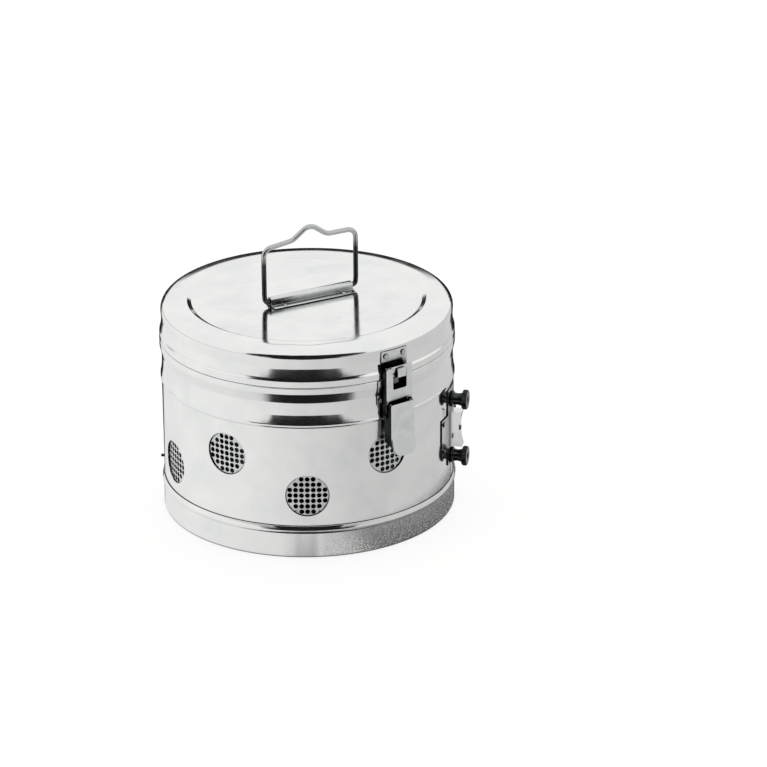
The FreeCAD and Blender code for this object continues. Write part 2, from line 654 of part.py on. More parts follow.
strike_side = spread(size("HookPlateWidth") / 2 - 2 * size("RivetHead"), size("DrumRadius"))
strike_height = "HookPlateHigh - 2 * RivetHead"
rivets("strike_rivets", [
    (FRONT + side * strike_side, size(strike_height), size(LID_WAIST + " + LatchSheet"))
    for side in (-1, 1)
])

# Latch bracket: follows the collar's bead and carries the lever between two ears.
ear_out = "LeverWidth / 2 - LatchSheet - RunGap"
latch_bracket = new_body("latch_bracket")
ring(latch_bracket, "bracket_base", [
    (COLLAR_OUT, "FlareTop"),
    (COLLAR_OUT + " + LatchSheet", "FlareTop"),
    (COLLAR_OUT + " + LatchSheet", "CollarBeadFoot"),
    (COLLAR_CREST + " + LatchSheet", "CollarCrest"),
    (COLLAR_CREST + " + LatchSheet", "CollarTop - RunGap"),
    (COLLAR_CREST, "CollarTop - RunGap"),
    (COLLAR_CREST, "CollarCrest"),
    (COLLAR_OUT, "CollarBeadFoot"),
], width="BracketWidth", reach="DrumRadius")
ear_root = COLLAR_OUT + " + LatchSheet / 3"
ear_radius = "(LeverFront - LatchSheet - RunGap)"
slab(latch_bracket, "bracket_ears", [
    (ear_root, "CollarBeadFoot - LatchSheet"),
    (ear_root, "FlareTop - 4 * LatchSheet"),
    ("LeverPivotReach", f"LeverPivotHeight - {ear_radius}"),
    (f"LeverPivotReach + {ear_radius} * 0.7", f"LeverPivotHeight - {ear_radius} * 0.7"),
    (f"LeverPivotReach + {ear_radius}", "LeverPivotHeight"),
    (f"LeverPivotReach + {ear_radius} * 0.7", f"LeverPivotHeight + {ear_radius} * 0.7"),
    ("LeverPivotReach", f"LeverPivotHeight + {ear_radius}"),
    (f"LeverPivotReach - {ear_radius}", f"LeverPivotHeight + {ear_radius} * 0.6"),
    (f"LeverPivotReach - {ear_radius} - 2", f"LeverPivotHeight + {ear_radius} / 2"),
], f"2 * ({ear_out})")
slab(latch_bracket, "bracket_throat", [
    (COLLAR_OUT + " + LatchSheet", "LeverPivotHeight - 14"),
    ("LeverPivotReach + 12", "LeverPivotHeight - 14"),
    ("LeverPivotReach + 12", "LeverPivotHeight + 14"),
    (COLLAR_OUT + " + LatchSheet", "LeverPivotHeight + 14"),
], f"2 * ({ear_out} - LatchSheet)", "Pocket")
ring(latch_bracket, "bracket_hollow", [
    ("DrumRadius / 2", "FlareTop - FlareDepth"),
    (COLLAR_LIP, "FlareTop - FlareDepth"),
    (COLLAR_OUT, "FlareTop"),
    (COLLAR_OUT, "CollarBeadFoot"),
    ("DrumRadius / 2", "CollarBeadFoot"),
], "Groove")
round_bar(latch_bracket, "bracket_bores", "LeverPivotReach", "LeverPivotHeight", "PivotRadius",
          "2 * LeverWidth", "Pocket")
keep(latch_bracket, FRONT)

bracket_side = spread(size("BracketWidth / 2 - 1.4 * RivetHead"), size("DrumRadius"))
bracket_height = size("(FlareTop + CollarBeadFoot) / 2")
rivets("bracket_rivets", [
    (FRONT + side * bracket_side, bracket_height, size(COLLAR_OUT + " + LatchSheet"))
    for side in (-1, 1)
])

# Latch lever: a channel that pivots on two flush rivets, with a rounded tip that bends out.
lever_face = "LeverPivotReach + LeverFront"
lever_top = "LeverPivotHeight + LeverRise"
latch_lever = new_body("latch_lever")
slab(latch_lever, "lever_channel", [
    (lever_face, lever_top),
    ("LeverPivotReach - LeverRise", lever_top),
    ("LeverPivotReach - LeverFront", "LeverPivotHeight"),
    (LINK_REACH + " - LinkEye + RunGap", LINK_HEIGHT + " + LinkEye / 2"),
    (LINK_REACH + " - LinkEye + RunGap", LINK_HEIGHT + " - LinkEye"),
    (lever_face + " - 4 * LatchSheet", "LeverFold + LatchSheet"),
    (lever_face, "LeverFold"),
], "LeverWidth")
slab(latch_lever, "lever_hollow", [
    (lever_face + " - LatchSheet", "LeverPivotHeight + 12"),
    ("LeverPivotReach - 12", "LeverPivotHeight + 12"),
    ("LeverPivotReach - 12", "LeverFold - 12"),
    (lever_face + " - LatchSheet", "LeverFold - 12"),
], "LeverWidth - 2 * LatchSheet", "Pocket")
slab(latch_lever, "lever_tip", [
    (lever_face, "LeverFold + 3"),
    (lever_face + " - LatchSheet", "LeverFold + 3"),
    (lever_face + " - LatchSheet", "LeverFold"),
    (lever_face + " + LeverTipOut - LatchSheet", "LeverTip"),
    (lever_face + " + LeverTipOut", "LeverTip"),
    (lever_face, "LeverFold"),
], "LeverWidth")
round_bar(latch_lever, "lever_bores", "LeverPivotReach", "LeverPivotHeight",
          "PivotRadius + PinGap", "2 * LeverWidth", "Pocket")
round_bar(latch_lever, "link_pin_bores", LINK_REACH, LINK_HEIGHT, "LinkPinRadius", "2 * LeverWidth",
          "Pocket")
for side, bulge in (("", ""), ("-", "-")):
    slab(latch_lever, "lever_tip_corner" + ("_left" if side else "_right"), [
        (side + "LeverWidth / 2", "LeverTip"),
        (side + "LeverWidth / 2", "LeverTip + LeverTipRound", bulge + "LeverTipRound"),
        (side + f"(LeverWidth / 2 - LeverTipRound)", "LeverTip"),
    ], "4 * DrumRadius", "Pocket", "YZ_Plane")
keep(latch_lever, FRONT)


# Pivot rivets, link pin and hinge pin lie across the drum's radius at the front or rear.
def cross_bar(radius, low, high, reach, height, angle):
    """A round bar across the radius, from one side distance to another."""
    bar = Part.makeCylinder(radius, high - low, Vector(reach, low, height), Vector(0, 1, 0))
    bar.rotate(Vector(0, 0, 0), Z_AXIS, angle)
    return bar


pivot_at = (size("LeverPivotReach"), size("LeverPivotHeight"), FRONT)
inner_end = size(ear_out + " - LatchSheet")
outer_end = size("LeverWidth / 2")
keep(feature("lever_pivots", Part.makeCompound([
    cross_bar(size("PivotRadius"), inner_end, outer_end, *pivot_at),
    cross_bar(size("PivotRadius"), -outer_end, -inner_end, *pivot_at),
])))

link_at = (size(LINK_REACH), size(LINK_HEIGHT), FRONT)
link_out = size("LeverWidth / 2 + RunGap + LatchSheet + RunGap")
pin_head_height = size("LatchSheet / 2")
link_pin = cross_bar(size("LinkPinRadius"), -link_out, link_out, *link_at)
link_pin = link_pin.fuse([
    cross_bar(size("LinkPinRadius + 1"), link_out, link_out + pin_head_height, *link_at),
    cross_bar(size("LinkPinRadius + 1"), -link_out - pin_head_height, -link_out, *link_at),
]).removeSplitter()
keep(feature("link_pin", link_pin))

# Link: a slotted face with side flanges that run down past the lever to two eyes.
link_face = LINK_REACH + " + LinkFront"
latch_link = new_body("latch_link")
slab(latch_link, "link_channel", [
    (link_face, "LinkTop"),
    (link_face + " - LatchSheet", "LinkTop"),
    (link_face + " - LatchSheet - LinkFlange", "LinkTop - LinkFlange"),
    (link_face + " - LatchSheet - LinkFlange", "LinkFoot + LinkFlange"),
    (LINK_REACH + " - LinkEye", "LinkFoot - 2"),
    (LINK_REACH + " - LinkEye", LINK_HEIGHT),
    (LINK_REACH, LINK_HEIGHT + " - LinkEye"),
    (LINK_REACH + " + LinkEye", LINK_HEIGHT),
    (link_face, "LinkFoot - 4"),
], "LeverWidth + 2 * RunGap + 2 * LatchSheet")
slab(latch_link, "link_hollow", [
    (link_face + " - LatchSheet", "LinkTop + 10"),
    (link_face + " - 20", "LinkTop + 10"),
    (link_face + " - 20", LINK_HEIGHT + " - 10"),
    (link_face + " + 10", LINK_HEIGHT + " - 10"),
    (link_face + " + 10", "LinkFoot"),
    (link_face + " - LatchSheet", "LinkFoot"),
], "LeverWidth + 2 * RunGap", "Pocket")
slab(latch_link, "link_slot", [
    (link_face + " - 10", "LinkSlotTop"),
    (link_face + " - 10", "LinkSlotTop - LinkSlotHeight"),
    (link_face + " + 10", "LinkSlotTop - LinkSlotHeight"),
    (link_face + " + 10", "LinkSlotTop"),
], "LinkSlotWidth", "Pocket")
round_bar(latch_link, "link_eyes", LINK_REACH, LINK_HEIGHT, "LinkPinRadius + PinGap",
          "2 * LeverWidth", "Pocket")
keep(latch_link, FRONT)


# Lid hinge: two leaves on one pin, with the lid's knuckle between the two of the collar.
collar_side = [
    ("DrumRadius / 2", "FlareTop - FlareDepth"),
    (COLLAR_LIP, "FlareTop - FlareDepth"),
    (COLLAR_OUT, "FlareTop"),
    (COLLAR_OUT, "CollarBeadFoot"),
    (COLLAR_CREST, "CollarCrest"),
    (COLLAR_CREST, "CollarTop"),
    ("DrumRadius / 2", "CollarTop"),
]
hinge_body_leaf = new_body("hinge_body_leaf")
ring(hinge_body_leaf, "body_leaf_plate", [
    (COLLAR_OUT, "FlareTop"),
    (COLLAR_OUT + " + HingeSheet", "FlareTop"),
    (COLLAR_OUT + " + HingeSheet", "CollarBeadFoot"),
    (COLLAR_OUT, "CollarBeadFoot"),
], width="HingeWidth", reach="DrumRadius")
slab(hinge_body_leaf, "body_leaf_arms", [
    (COLLAR_OUT + " - 2 * HingeSheet", "CollarBeadFoot - HingeSheet"),
    (COLLAR_OUT + " + HingeSheet", "CollarBeadFoot - 3 * HingeSheet"),
    ("HingeReach + HingeSheet", "HingeHeight - HingeSheet"),
    ("HingeReach - HingeSheet", "HingeHeight - HingeSheet"),
], "HingeWidth")
round_bar(hinge_body_leaf, "body_knuckles", "HingeReach", "HingeHeight", "KnuckleRadius",
          "HingeWidth")
slab(hinge_body_leaf, "body_leaf_gap", [
    (COLLAR_OUT, "CollarBeadFoot + RunGap"),
    ("HingeReach + 2 * KnuckleRadius", "CollarBeadFoot + RunGap"),
    ("HingeReach + 2 * KnuckleRadius", "HingeHeight + 2 * KnuckleRadius"),
    (COLLAR_OUT, "HingeHeight + 2 * KnuckleRadius"),
], "HingeWidth / 3", "Pocket")
ring(hinge_body_leaf, "body_leaf_seat", collar_side, "Groove")
round_bar(hinge_body_leaf, "body_pin_bore", "HingeReach", "HingeHeight", "HingePinRadius",
          "2 * HingeWidth", "Pocket")
keep(hinge_body_leaf, REAR)

hinge_lid_leaf = new_body("hinge_lid_leaf")
ring(hinge_lid_leaf, "lid_leaf_plate", [
    (LID_WAIST, "HingeLeafLow"),
    (LID_WAIST + " + HingeSheet", "HingeLeafLow"),
    (LID_WAIST + " + HingeSheet", "HingeLeafTop"),
    (LID_WAIST, "HingeLeafTop"),
], width="HingeWidth", reach="DrumRadius")
slab(hinge_lid_leaf, "lid_leaf_arm", [
    (LID_WAIST + " + HingeSheet / 2", "HingeLeafLow"),
    ("HingeReach - HingeSheet", "HingeHeight + HingeSheet"),
    ("HingeReach + HingeSheet", "HingeHeight + HingeSheet"),
    (LID_WAIST + " + HingeSheet / 2", "HingeLeafLow + 3 * HingeSheet"),
], "HingeWidth / 3 - 2 * RunGap")
round_bar(hinge_lid_leaf, "lid_knuckle", "HingeReach", "HingeHeight", "KnuckleRadius",
          "HingeWidth / 3 - 2 * RunGap")
round_bar(hinge_lid_leaf, "lid_pin_bore", "HingeReach", "HingeHeight", "HingePinRadius + PinGap",
          "2 * HingeWidth", "Pocket")
keep(hinge_lid_leaf, REAR)

pin_half = size("HingeWidth / 2")
pin_head = size("HingePinRadius + HingePinHead")
pin_end = size("HingeWidth / 2 + HingePinHead")
pin_at = (size("HingeReach"), size("HingeHeight"), REAR)
hinge_pin = cross_bar(size("HingePinRadius"), -pin_half, pin_half, *pin_at).fuse([
    cross_bar(pin_head, pin_half, pin_end, *pin_at),
    cross_bar(pin_head, -pin_end, -pin_half, *pin_at),
]).removeSplitter()
keep(feature("hinge_pin", hinge_pin))

leaf_side = spread(size("HingeWidth") / 2 - 2 * size("RivetHead"), size("DrumRadius"))
leaf_height = "HingeLeafTop - 2 * RivetHead"
rivets("hinge_lid_rivets", [
    (REAR + side * leaf_side, size(leaf_height), size(LID_WAIST + " + HingeSheet"))
    for side in (-1, 0, 1)
])
low_leaf_side = spread(size("HingeWidth") / 5, size("DrumRadius"))
low_leaf_height = size("FlareTop + 1.3 * RivetHead")
rivets("hinge_body_rivets", [
    (REAR + side * low_leaf_side, low_leaf_height, size(COLLAR_OUT + " + HingeSheet"))
    for side in (-1, 1)
])

# Bail strap: a tube on two flanges, lying across the lid's sunk panel.
tube_in = "BailWire / 2 + StrapTubeGap"
tube_out = tube_in + " + StrapSheet"
bail_strap = new_body("bail_strap")
slab(bail_strap, "strap_flange", [
    ("-StrapWidth / 2", PANEL_TOP),
    ("StrapWidth / 2", PANEL_TOP),
    ("StrapWidth / 2", PANEL_TOP + " + StrapSheet"),
    ("-StrapWidth / 2", PANEL_TOP + " + StrapSheet"),
], "StrapLength")
slab(bail_strap, "strap_web", [
    (f"-({tube_out})", PANEL_TOP + " + StrapSheet / 2"),
    (tube_out, PANEL_TOP + " + StrapSheet / 2"),
    (tube_out, PANEL_TOP + " + BailAxisRise"),
    (f"-({tube_out})", PANEL_TOP + " + BailAxisRise"),
], "StrapLength")
round_bar(bail_strap, "strap_tube", "0", PANEL_TOP + " + BailAxisRise", tube_out, "StrapLength")
round_bar(bail_strap, "strap_bore", "0", PANEL_TOP + " + BailAxisRise", tube_in, "2 * StrapLength",
          "Pocket")
strap_centre = FreeCAD.Rotation(Z_AXIS, size("BailSkew")).multVec(Vector(size("StrapShift"), 0, 0))
keep(bail_strap, size("BailSkew") + REAR, strap_centre)

strap_rivets = []
rivet_along = size("StrapLength * 0.36")
rivet_across = size("StrapWidth * 0.36")
for along in (-rivet_along, rivet_along):
    for across in (-rivet_across, rivet_across):
        strap_head = rivet_head()
        strap_head.translate(Vector(along, across, size(PANEL_TOP + " + StrapSheet")))
        strap_rivets.append(strap_head)
strap_heads = feature("strap_rivets", Part.makeCompound(strap_rivets))
keep(strap_heads, size("BailSkew"), strap_centre)


# Bail: one bent wire, its tails inside the strap and a finger hump in the middle of its grip.
def rounded(points, bends):
    """The route through the points, each inner corner taken on its (radius, straight steps)."""
    route = [points[0]]
    for i in range(1, len(points) - 1):
        before = (points[i] - points[i - 1]).normalize()
        after = (points[i + 1] - points[i]).normalize()
        turn = math.acos(max(-1, min(1, before.dot(after))))
        radius, steps = bends[i - 1]
        back = radius * math.tan(turn / 2)
        centre = points[i] + (after - before).normalize() * (radius / math.cos(turn / 2))
        spoke = points[i] - before * back - centre
        axis = before.cross(after)
        for j in range(steps + 1):
            swing = FreeCAD.Rotation(axis, math.degrees(turn) * j / steps)
            route.append(centre + swing.multVec(spoke))
    return route + [points[-1]]


leg = size("BailSpan") / 2
grip_height = size("BailGrip")
hump = size("BailHumpHalf")
hump_flat = hump * 0.25
kink = size("BailKinkRise")
strap_end = size("StrapLength") / 2
half_route = [
    Vector(strap_end - size("BailTail"), 0, 0),
    Vector(strap_end + size("BailKinkOut"), 0, 0),
    Vector(leg, 0, kink),
    Vector(leg, 0, grip_height),
    Vector(hump, 0, grip_height),
    Vector(hump_flat, 0, grip_height + size("BailHump")),
]
route = [Vector(-p.x, 0, p.z) for p in half_route] + half_route[::-1]
corner = size("BailCorner")
small = size("BailWire") * 0.8
half_bends = [(small, 1), (small, 1), (corner, 2), (corner, 1), (corner, 1)]
bail_path = Part.makePolygon(rounded(route, half_bends + half_bends[::-1]))
section = Part.Wire(Part.makeCircle(size("BailWire") / 2, route[0], Vector(1, 0, 0)))
wire = bail_path.makePipeShell([section], True, False, 1)
bail_centre = strap_centre + Vector(0, 0, size(PANEL_TOP + " + BailAxisRise"))
keep(feature("wire_bail", wire), size("BailSkew"), bail_centre)

# Dividers: one plate right across the drum and one from its middle to the front wall.
plate_end = size(SHELL_IN + " - ChannelSheet - DividerGap - DividerEase")
plate_low = size("FloorTop + DividerGap")
plate_high = size("DividerTop")
plate_half = size("DividerSheet") / 2
hem_half = plate_half + size("DividerSheet") * 0.6
hem_end = size(SHELL_IN + " - ChannelDepth - HemMargin")


def divider(name, first, last, hem_first, hem_last, angle):
    plate = Part.makeBox(last - first, 2 * plate_half, plate_high - plate_low,
                         Vector(first, -plate_half, plate_low))
    hem = Part.makeBox(hem_last - hem_first, 2 * hem_half, size("DividerHem"),
                       Vector(hem_first, -hem_half, plate_high - size("DividerHem")))
    keep(feature(name, plate.fuse(hem).removeSplitter()), angle)


divider_angle = size("DividerAngle")
short_angle = divider_angle - 90
divider("divider_long", -plate_end, plate_end, -hem_end, hem_end, divider_angle)
middle_gap = size("DividerSheet / 2 + ChannelSheet + DividerGap")
middle_reach = size("DividerSheet / 2 + ChannelDepth + HemMargin")
divider("divider_short", middle_gap, plate_end, middle_reach, hem_end, short_angle)


# Divider channels: folded guides on the wall, and one on the middle of the long plate.
def channel(outer, angle, depth_sign=1):
    """A U whose back lies at distance outer and whose legs point towards the axis or away."""
    half = size("DividerSheet / 2 + DividerGap")
    full = half + size("ChannelSheet")
    high = size("DividerTop - DividerHem - HemMargin")
    back = Part.makeBox(size("ChannelDepth"), 2 * full, high - plate_low)
    room = Part.makeBox(size("ChannelDepth"), 2 * half, high - plate_low)
    back.translate(Vector(outer - size("ChannelDepth"), -full, plate_low))
    room.translate(Vector(outer - size("ChannelDepth") - size("ChannelSheet"), -half, plate_low))
    made = back.cut(room)
    if depth_sign < 0:
        made.rotate(Vector(outer, 0, 0), Z_AXIS, HALF_TURN)
    made.rotate(Vector(0, 0, 0), Z_AXIS, angle)
    return made


channel_half = size("DividerSheet / 2 + DividerGap + ChannelSheet")
wall_touch = math.sqrt(size(SHELL_IN) ** 2 - channel_half ** 2)
wall_angles = (divider_angle, divider_angle + HALF_TURN, short_angle)
channels = [channel(wall_touch, angle) for angle in wall_angles]
keep(feature("divider_channels", Part.makeCompound(channels)))
centre_channel = channel(size("DividerSheet / 2"), short_angle, -1)
keep(feature("divider_centre_clip", centre_channel))

doc.recompute()
faults = [thing.Label for thing in doc.Objects if "Invalid" in thing.State or "Error" in thing.State]
for node in nodes:
    if node.Shape.isNull() or not node.Shape.isValid() or not node.Shape.Solids:
        faults.append(node.Label)
if faults:
    raise RuntimeError("failed objects: " + ", ".join(faults))

os.makedirs("parts", exist_ok=True)
for node in nodes:
    node.Shape.exportStep(f"parts/{node.Label}.step")
    print(node.Label, len(node.Shape.Solids), round(node.Shape.Volume, 1))
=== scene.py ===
"""Looks of a dressing drum for steam sterilizing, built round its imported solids.

Frame: +Z up, origin on the drum's axis at the resting plane, latch at -Y, lid hinge at +Y.
Sizes in the classes are millimetres and degrees; meshes are metres.
"""

import logging
import math
from collections import Counter
from dataclasses import dataclass
from enum import Enum
from typing import Callable, Iterable, Optional, Sequence, Union

import bmesh
import bpy
import numpy as np
from mathutils import Matrix, Vector
from mathutils.geometry import delaunay_2d_cdt


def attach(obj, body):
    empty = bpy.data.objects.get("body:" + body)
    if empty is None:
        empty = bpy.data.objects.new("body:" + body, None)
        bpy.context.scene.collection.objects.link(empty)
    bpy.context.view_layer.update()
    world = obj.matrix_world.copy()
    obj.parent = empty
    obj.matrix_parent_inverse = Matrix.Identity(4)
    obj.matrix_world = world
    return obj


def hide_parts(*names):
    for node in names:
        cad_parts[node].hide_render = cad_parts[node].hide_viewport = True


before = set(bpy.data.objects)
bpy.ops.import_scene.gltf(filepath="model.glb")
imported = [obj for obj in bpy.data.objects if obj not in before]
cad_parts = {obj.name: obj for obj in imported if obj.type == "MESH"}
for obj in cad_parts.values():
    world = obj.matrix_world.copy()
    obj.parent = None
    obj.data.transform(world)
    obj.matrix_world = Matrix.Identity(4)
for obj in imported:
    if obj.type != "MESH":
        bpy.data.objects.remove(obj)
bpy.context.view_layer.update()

LOG = logging.getLogger("dressing_drum")
MM = 0.001
FULL_TURN = 2 * math.pi
FRONT = -90.0
REAR = 90.0

Line = list[tuple[float, float]]
Profile = tuple[tuple[float, ...], ...]
Piece = bpy.types.Object
Tree = bpy.types.NodeTree
Socket = bpy.types.NodeSocket
SocketValue = Union[Socket, float, int, bool, str, tuple]


# Nodes, colours and finishes.


def linear(code: str) -> tuple[float, float, float, float]:
    """Turn an sRGB hex colour into linear red, green, blue and alpha.

    Args:
        code: six hex digits, with or without a leading hash sign.

    Returns:
        The linear colour with an alpha of one.
    """
    digits = code.lstrip("#")
    parts = [int(digits[i:i + 2], 16) / 255 for i in (0, 2, 4)]
    light = [p / 12.92 if p <= 0.04045 else ((p + 0.055) / 1.055) ** 2.4 for p in parts]
    return (light[0], light[1], light[2], 1.0)


def add_node(
    tree: Tree, kind: str, inputs: Optional[dict[Union[str, int], SocketValue]] = None,
    **settings: object,
) -> bpy.types.Node:
    """Add one node with its settings, its input values and its links.

    Args:
        tree: the node tree that gets the node.
        kind: the node's type name.
        inputs: socket names or numbers, each with a value or with the output that feeds it.
        **settings: properties of the node.

    Returns:
        The new node.
    """
    node = tree.nodes.new(kind)
    for name, value in settings.items():
        setattr(node, name, value)
    for key, value in (inputs or {}).items():
        if isinstance(value, Socket):
            tree.links.new(value, node.inputs[key])
        else:
            node.inputs[key].default_value = value
    return node


def new_material(name: str) -> tuple[bpy.types.Material, Tree]:
    """Start a material with an empty node tree.

    Args:
        name: the material's name.

    Returns:
        The material and its tree.
    """
    material = bpy.data.materials.new(name)
    material.use_nodes = True
    material.node_tree.nodes.clear()
    return material, material.node_tree


class Grain(Enum):
    """How the fine polishing lines of a metal surface run."""

    TURNED = "lines round the drum's axis"
    PLAIN = "no lines, only a fine ripple"
    UPRIGHT = "lines that run up and down"


@dataclass(frozen=True)
class MetalFinish:
    """A bare metal surface: its colour, gloss, polishing lines and ripple, with painted shade in
    its crevices.

    The sizes are in millimetres. Noise runs from about 0.3 to 0.7, which the remapping nodes
    spread over their own range. Depths are drawn deeper than real polishing marks, because the
    real ones are finer than a pixel.
    """

    name: str
    colour: str
    stain: str
    roughness: float
    haze: float
    haze_size: float
    grain: Grain
    grain_size: float
    grain_depth: float
    ripple_size: float
    ripple_depth: float
    # Painted shade in recesses, folds and joints: its dark colour, its reach, and the occlusion at
    # which it fades out.
    crevice_shade: str = "#222223"
    crevice: float = 3.5
    crevice_open: float = 0.9
    # Painted highlight: a height above which the colour is lightened, and its lighter tint.
    highlight_above: float = 0.0
    highlight_tint: str = "#FFFFFF"

    def material(self) -> bpy.types.Material:
        """Build the finish once, or return the one that is there."""
        known = bpy.data.materials.get(self.name)
        if known:
            return known
        made, tree = new_material(self.name)
        place = add_node(tree, "ShaderNodeTexCoord").outputs["Object"]
        haze = add_node(tree, "ShaderNodeTexNoise", {
            "Vector": place, "Scale": 1 / (self.haze_size * MM), "Detail": 4.0, "Roughness": 0.6,
        }).outputs["Fac"]
        gloss = add_node(tree, "ShaderNodeMapRange", {
            "Value": haze, "From Min": 0.3, "From Max": 0.75,
            "To Min": self.roughness, "To Max": self.roughness + self.haze,
        }).outputs["Result"]
        share = add_node(tree, "ShaderNodeMapRange", {
            "Value": haze, "From Min": 0.35, "From Max": 0.8,
        }).outputs["Result"]
        tint = add_node(tree, "ShaderNodeMix", {
            "Factor": share, 6: linear(self.colour), 7: linear(self.stain),
        }, data_type="RGBA").outputs[2]
        # Painted highlight: above the given height the colour blends over 10 mm into a lighter
        # tint.
        if self.highlight_above:
            height = add_node(tree, "ShaderNodeSeparateXYZ", {"Vector": place}).outputs["Z"]
            highlight_share = add_node(tree, "ShaderNodeMapRange", {
                "Value": height, "From Min": (self.highlight_above - 5.0) * MM,
                "From Max": (self.highlight_above + 5.0) * MM,
            }).outputs["Result"]
            tint = add_node(tree, "ShaderNodeMix", {
                "Factor": highlight_share, 6: tint, 7: linear(self.highlight_tint),
            }, data_type="RGBA").outputs[2]
        # Painted shade: ambient occlusion darkens the colour in recesses, folds and joints.
        occlusion = add_node(tree, "ShaderNodeAmbientOcclusion", {
            "Distance": self.crevice * MM,
        }, samples=8).outputs["AO"]
        unshaded = add_node(tree, "ShaderNodeMapRange", {
            "Value": occlusion, "From Min": self.crevice_open - 0.35, "From Max": self.crevice_open,
        }, interpolation_type="SMOOTHSTEP").outputs["Result"]
        tint = add_node(tree, "ShaderNodeMix", {
            "Factor": unshaded, 6: linear(self.crevice_shade), 7: tint,
        }, data_type="RGBA").outputs[2]
        lines = add_node(tree, "ShaderNodeTexNoise", {
            "Vector": self._grain_place(tree, place), "Scale": 1 / (self.grain_size * MM),
            "Detail": 2.0,
        }).outputs["Fac"]
        ripple = add_node(tree, "ShaderNodeTexNoise", {
            "Vector": place, "Scale": 1 / (self.ripple_size * MM), "Detail": 3.0,
        }).outputs["Fac"]
        scored = add_node(tree, "ShaderNodeBump", {
            "Height": lines, "Distance": self.grain_depth * MM, "Strength": 1.0,
        }).outputs["Normal"]
        waved = add_node(tree, "ShaderNodeBump", {
            "Height": ripple, "Distance": self.ripple_depth * MM, "Strength": 1.0,
            "Normal": scored,
        }).outputs["Normal"]
        shader = add_node(tree, "ShaderNodeBsdfPrincipled", {
            "Base Color": tint, "Metallic": 1.0, "Roughness": gloss, "Normal": waved,
        })
        add_node(tree, "ShaderNodeOutputMaterial", {"Surface": shader.outputs["BSDF"]})
        return made

    def _grain_place(self, tree: Tree, place: Socket) -> Socket:
        """Squeeze the coordinates so that a noise turns into lines along the grain."""
        if self.grain is Grain.PLAIN:
            return place
        if self.grain is Grain.UPRIGHT:
            return add_node(tree, "ShaderNodeMapping", {
                "Vector": place, "Scale": (1.0, 1.0, 0.03),
            }).outputs["Vector"]
        split = add_node(tree, "ShaderNodeSeparateXYZ", {"Vector": place})
        flat = add_node(tree, "ShaderNodeCombineXYZ", {
            "X": split.outputs["X"], "Y": split.outputs["Y"],
        }).outputs["Vector"]
        reach = add_node(tree, "ShaderNodeVectorMath", {0: flat}, operation="LENGTH")
        turn = add_node(tree, "ShaderNodeVectorMath", {
            0: flat, 1: (0.02, 0.02, 0.02),
        }, operation="MULTIPLY")
        along = add_node(tree, "ShaderNodeSeparateXYZ", {"Vector": turn.outputs["Vector"]})
        height = add_node(tree, "ShaderNodeMath", {
            0: split.outputs["Z"], 1: along.outputs["Y"],
        }, operation="ADD")
        return add_node(tree, "ShaderNodeCombineXYZ", {
            "X": reach.outputs["Value"], "Y": along.outputs["X"], "Z": height.outputs["Value"],
        }).outputs["Vector"]


# Stainless sheet, buffed to a mirror on the lathe: sharp reflections, faintly broken by the
# buffing lines and by fingerprints wiped thin.
MIRROR_SHEET = MetalFinish("buffed_stainless_sheet", "#EDEEEC", "#E2E4E3", 0.07, 0.09, 34.0,
                           Grain.TURNED, 0.9, 0.0012, 14.0, 0.006)
# Stainless sheet as rolled: even, soft reflections on the inside walls.
SATIN_SHEET = MetalFinish("rolled_stainless_sheet", "#D6D8D7", "#C6C9C8", 0.26, 0.12, 40.0,
                          Grain.UPRIGHT, 0.7, 0.004, 18.0, 0.006)
# Punched stainless sheet: a little duller than the band in front of it.
PUNCHED_SHEET = MetalFinish("punched_stainless_sheet", "#DADCDB", "#C9CCCB", 0.18, 0.12, 16.0,
                            Grain.PLAIN, 0.8, 0.002, 6.0, 0.006)
# Pressed stainless of the latch, buffed by hand: bright flats with softer bends, and painted shade
# within 16 mm of other parts.
LATCH_SHEET = MetalFinish("hand_buffed_stainless", "#E6E8E6", "#D4D7D6", 0.12, 0.10, 12.0,
                          Grain.UPRIGHT, 0.5, 0.0015, 7.0, 0.004, crevice=16.0,
                          crevice_open=0.93)
# Folded sides of the latch: a nearly black painted shade, standing in for the shade and dark
# reflection at the latch's flanks.
SHADED_SIDE = MetalFinish("folded_side_painted_shade", "#303132", "#232425", 0.3, 0.15, 8.0,
                        Grain.UPRIGHT, 0.5, 0.0015, 7.0, 0.004)
# Base plate of the clasp: buffed, with painted shade all round the grip.
CLASP_SHEET = MetalFinish("clasp_plate_painted_shade", "#DCDEDC", "#CBCECD", 0.16, 0.12, 10.0,
                          Grain.UPRIGHT, 0.5, 0.0015, 7.0, 0.004, crevice=20.0,
                          crevice_open=0.97)
# Drawn steel wire, dark grey as a painted dark reflection on its legs, with a painted highlight
# that lightens the grip above 262 mm.
DRAWN_WIRE = MetalFinish("drawn_steel_wire", "#4A4C4E", "#37393A", 0.16, 0.12, 9.0,
                         Grain.PLAIN, 0.4, 0.002, 4.0, 0.003, highlight_above=262.0,
                         highlight_tint="#B9BBBB")
# Turned steel of nuts, studs and pins: crisp lathe finish, with painted shade within 9 mm of other
# parts.
TURNED_STEEL = MetalFinish("turned_steel", "#C2C4C4", "#9FA2A3", 0.17, 0.12, 6.0,
                           Grain.PLAIN, 0.35, 0.003, 3.0, 0.003, crevice=9.0,
                           crevice_open=0.9)
# Steel of the thumb nuts and the stop pin, coloured near black as painted shade, with more painted
# shade within 6 mm of other parts.
SHADE_DARKENED_STEEL = MetalFinish("steel_painted_dark", "#46484A", "#333536", 0.2, 0.12, 6.0,
                            Grain.PLAIN, 0.35, 0.003, 3.0, 0.003, crevice=6.0, crevice_open=0.8)
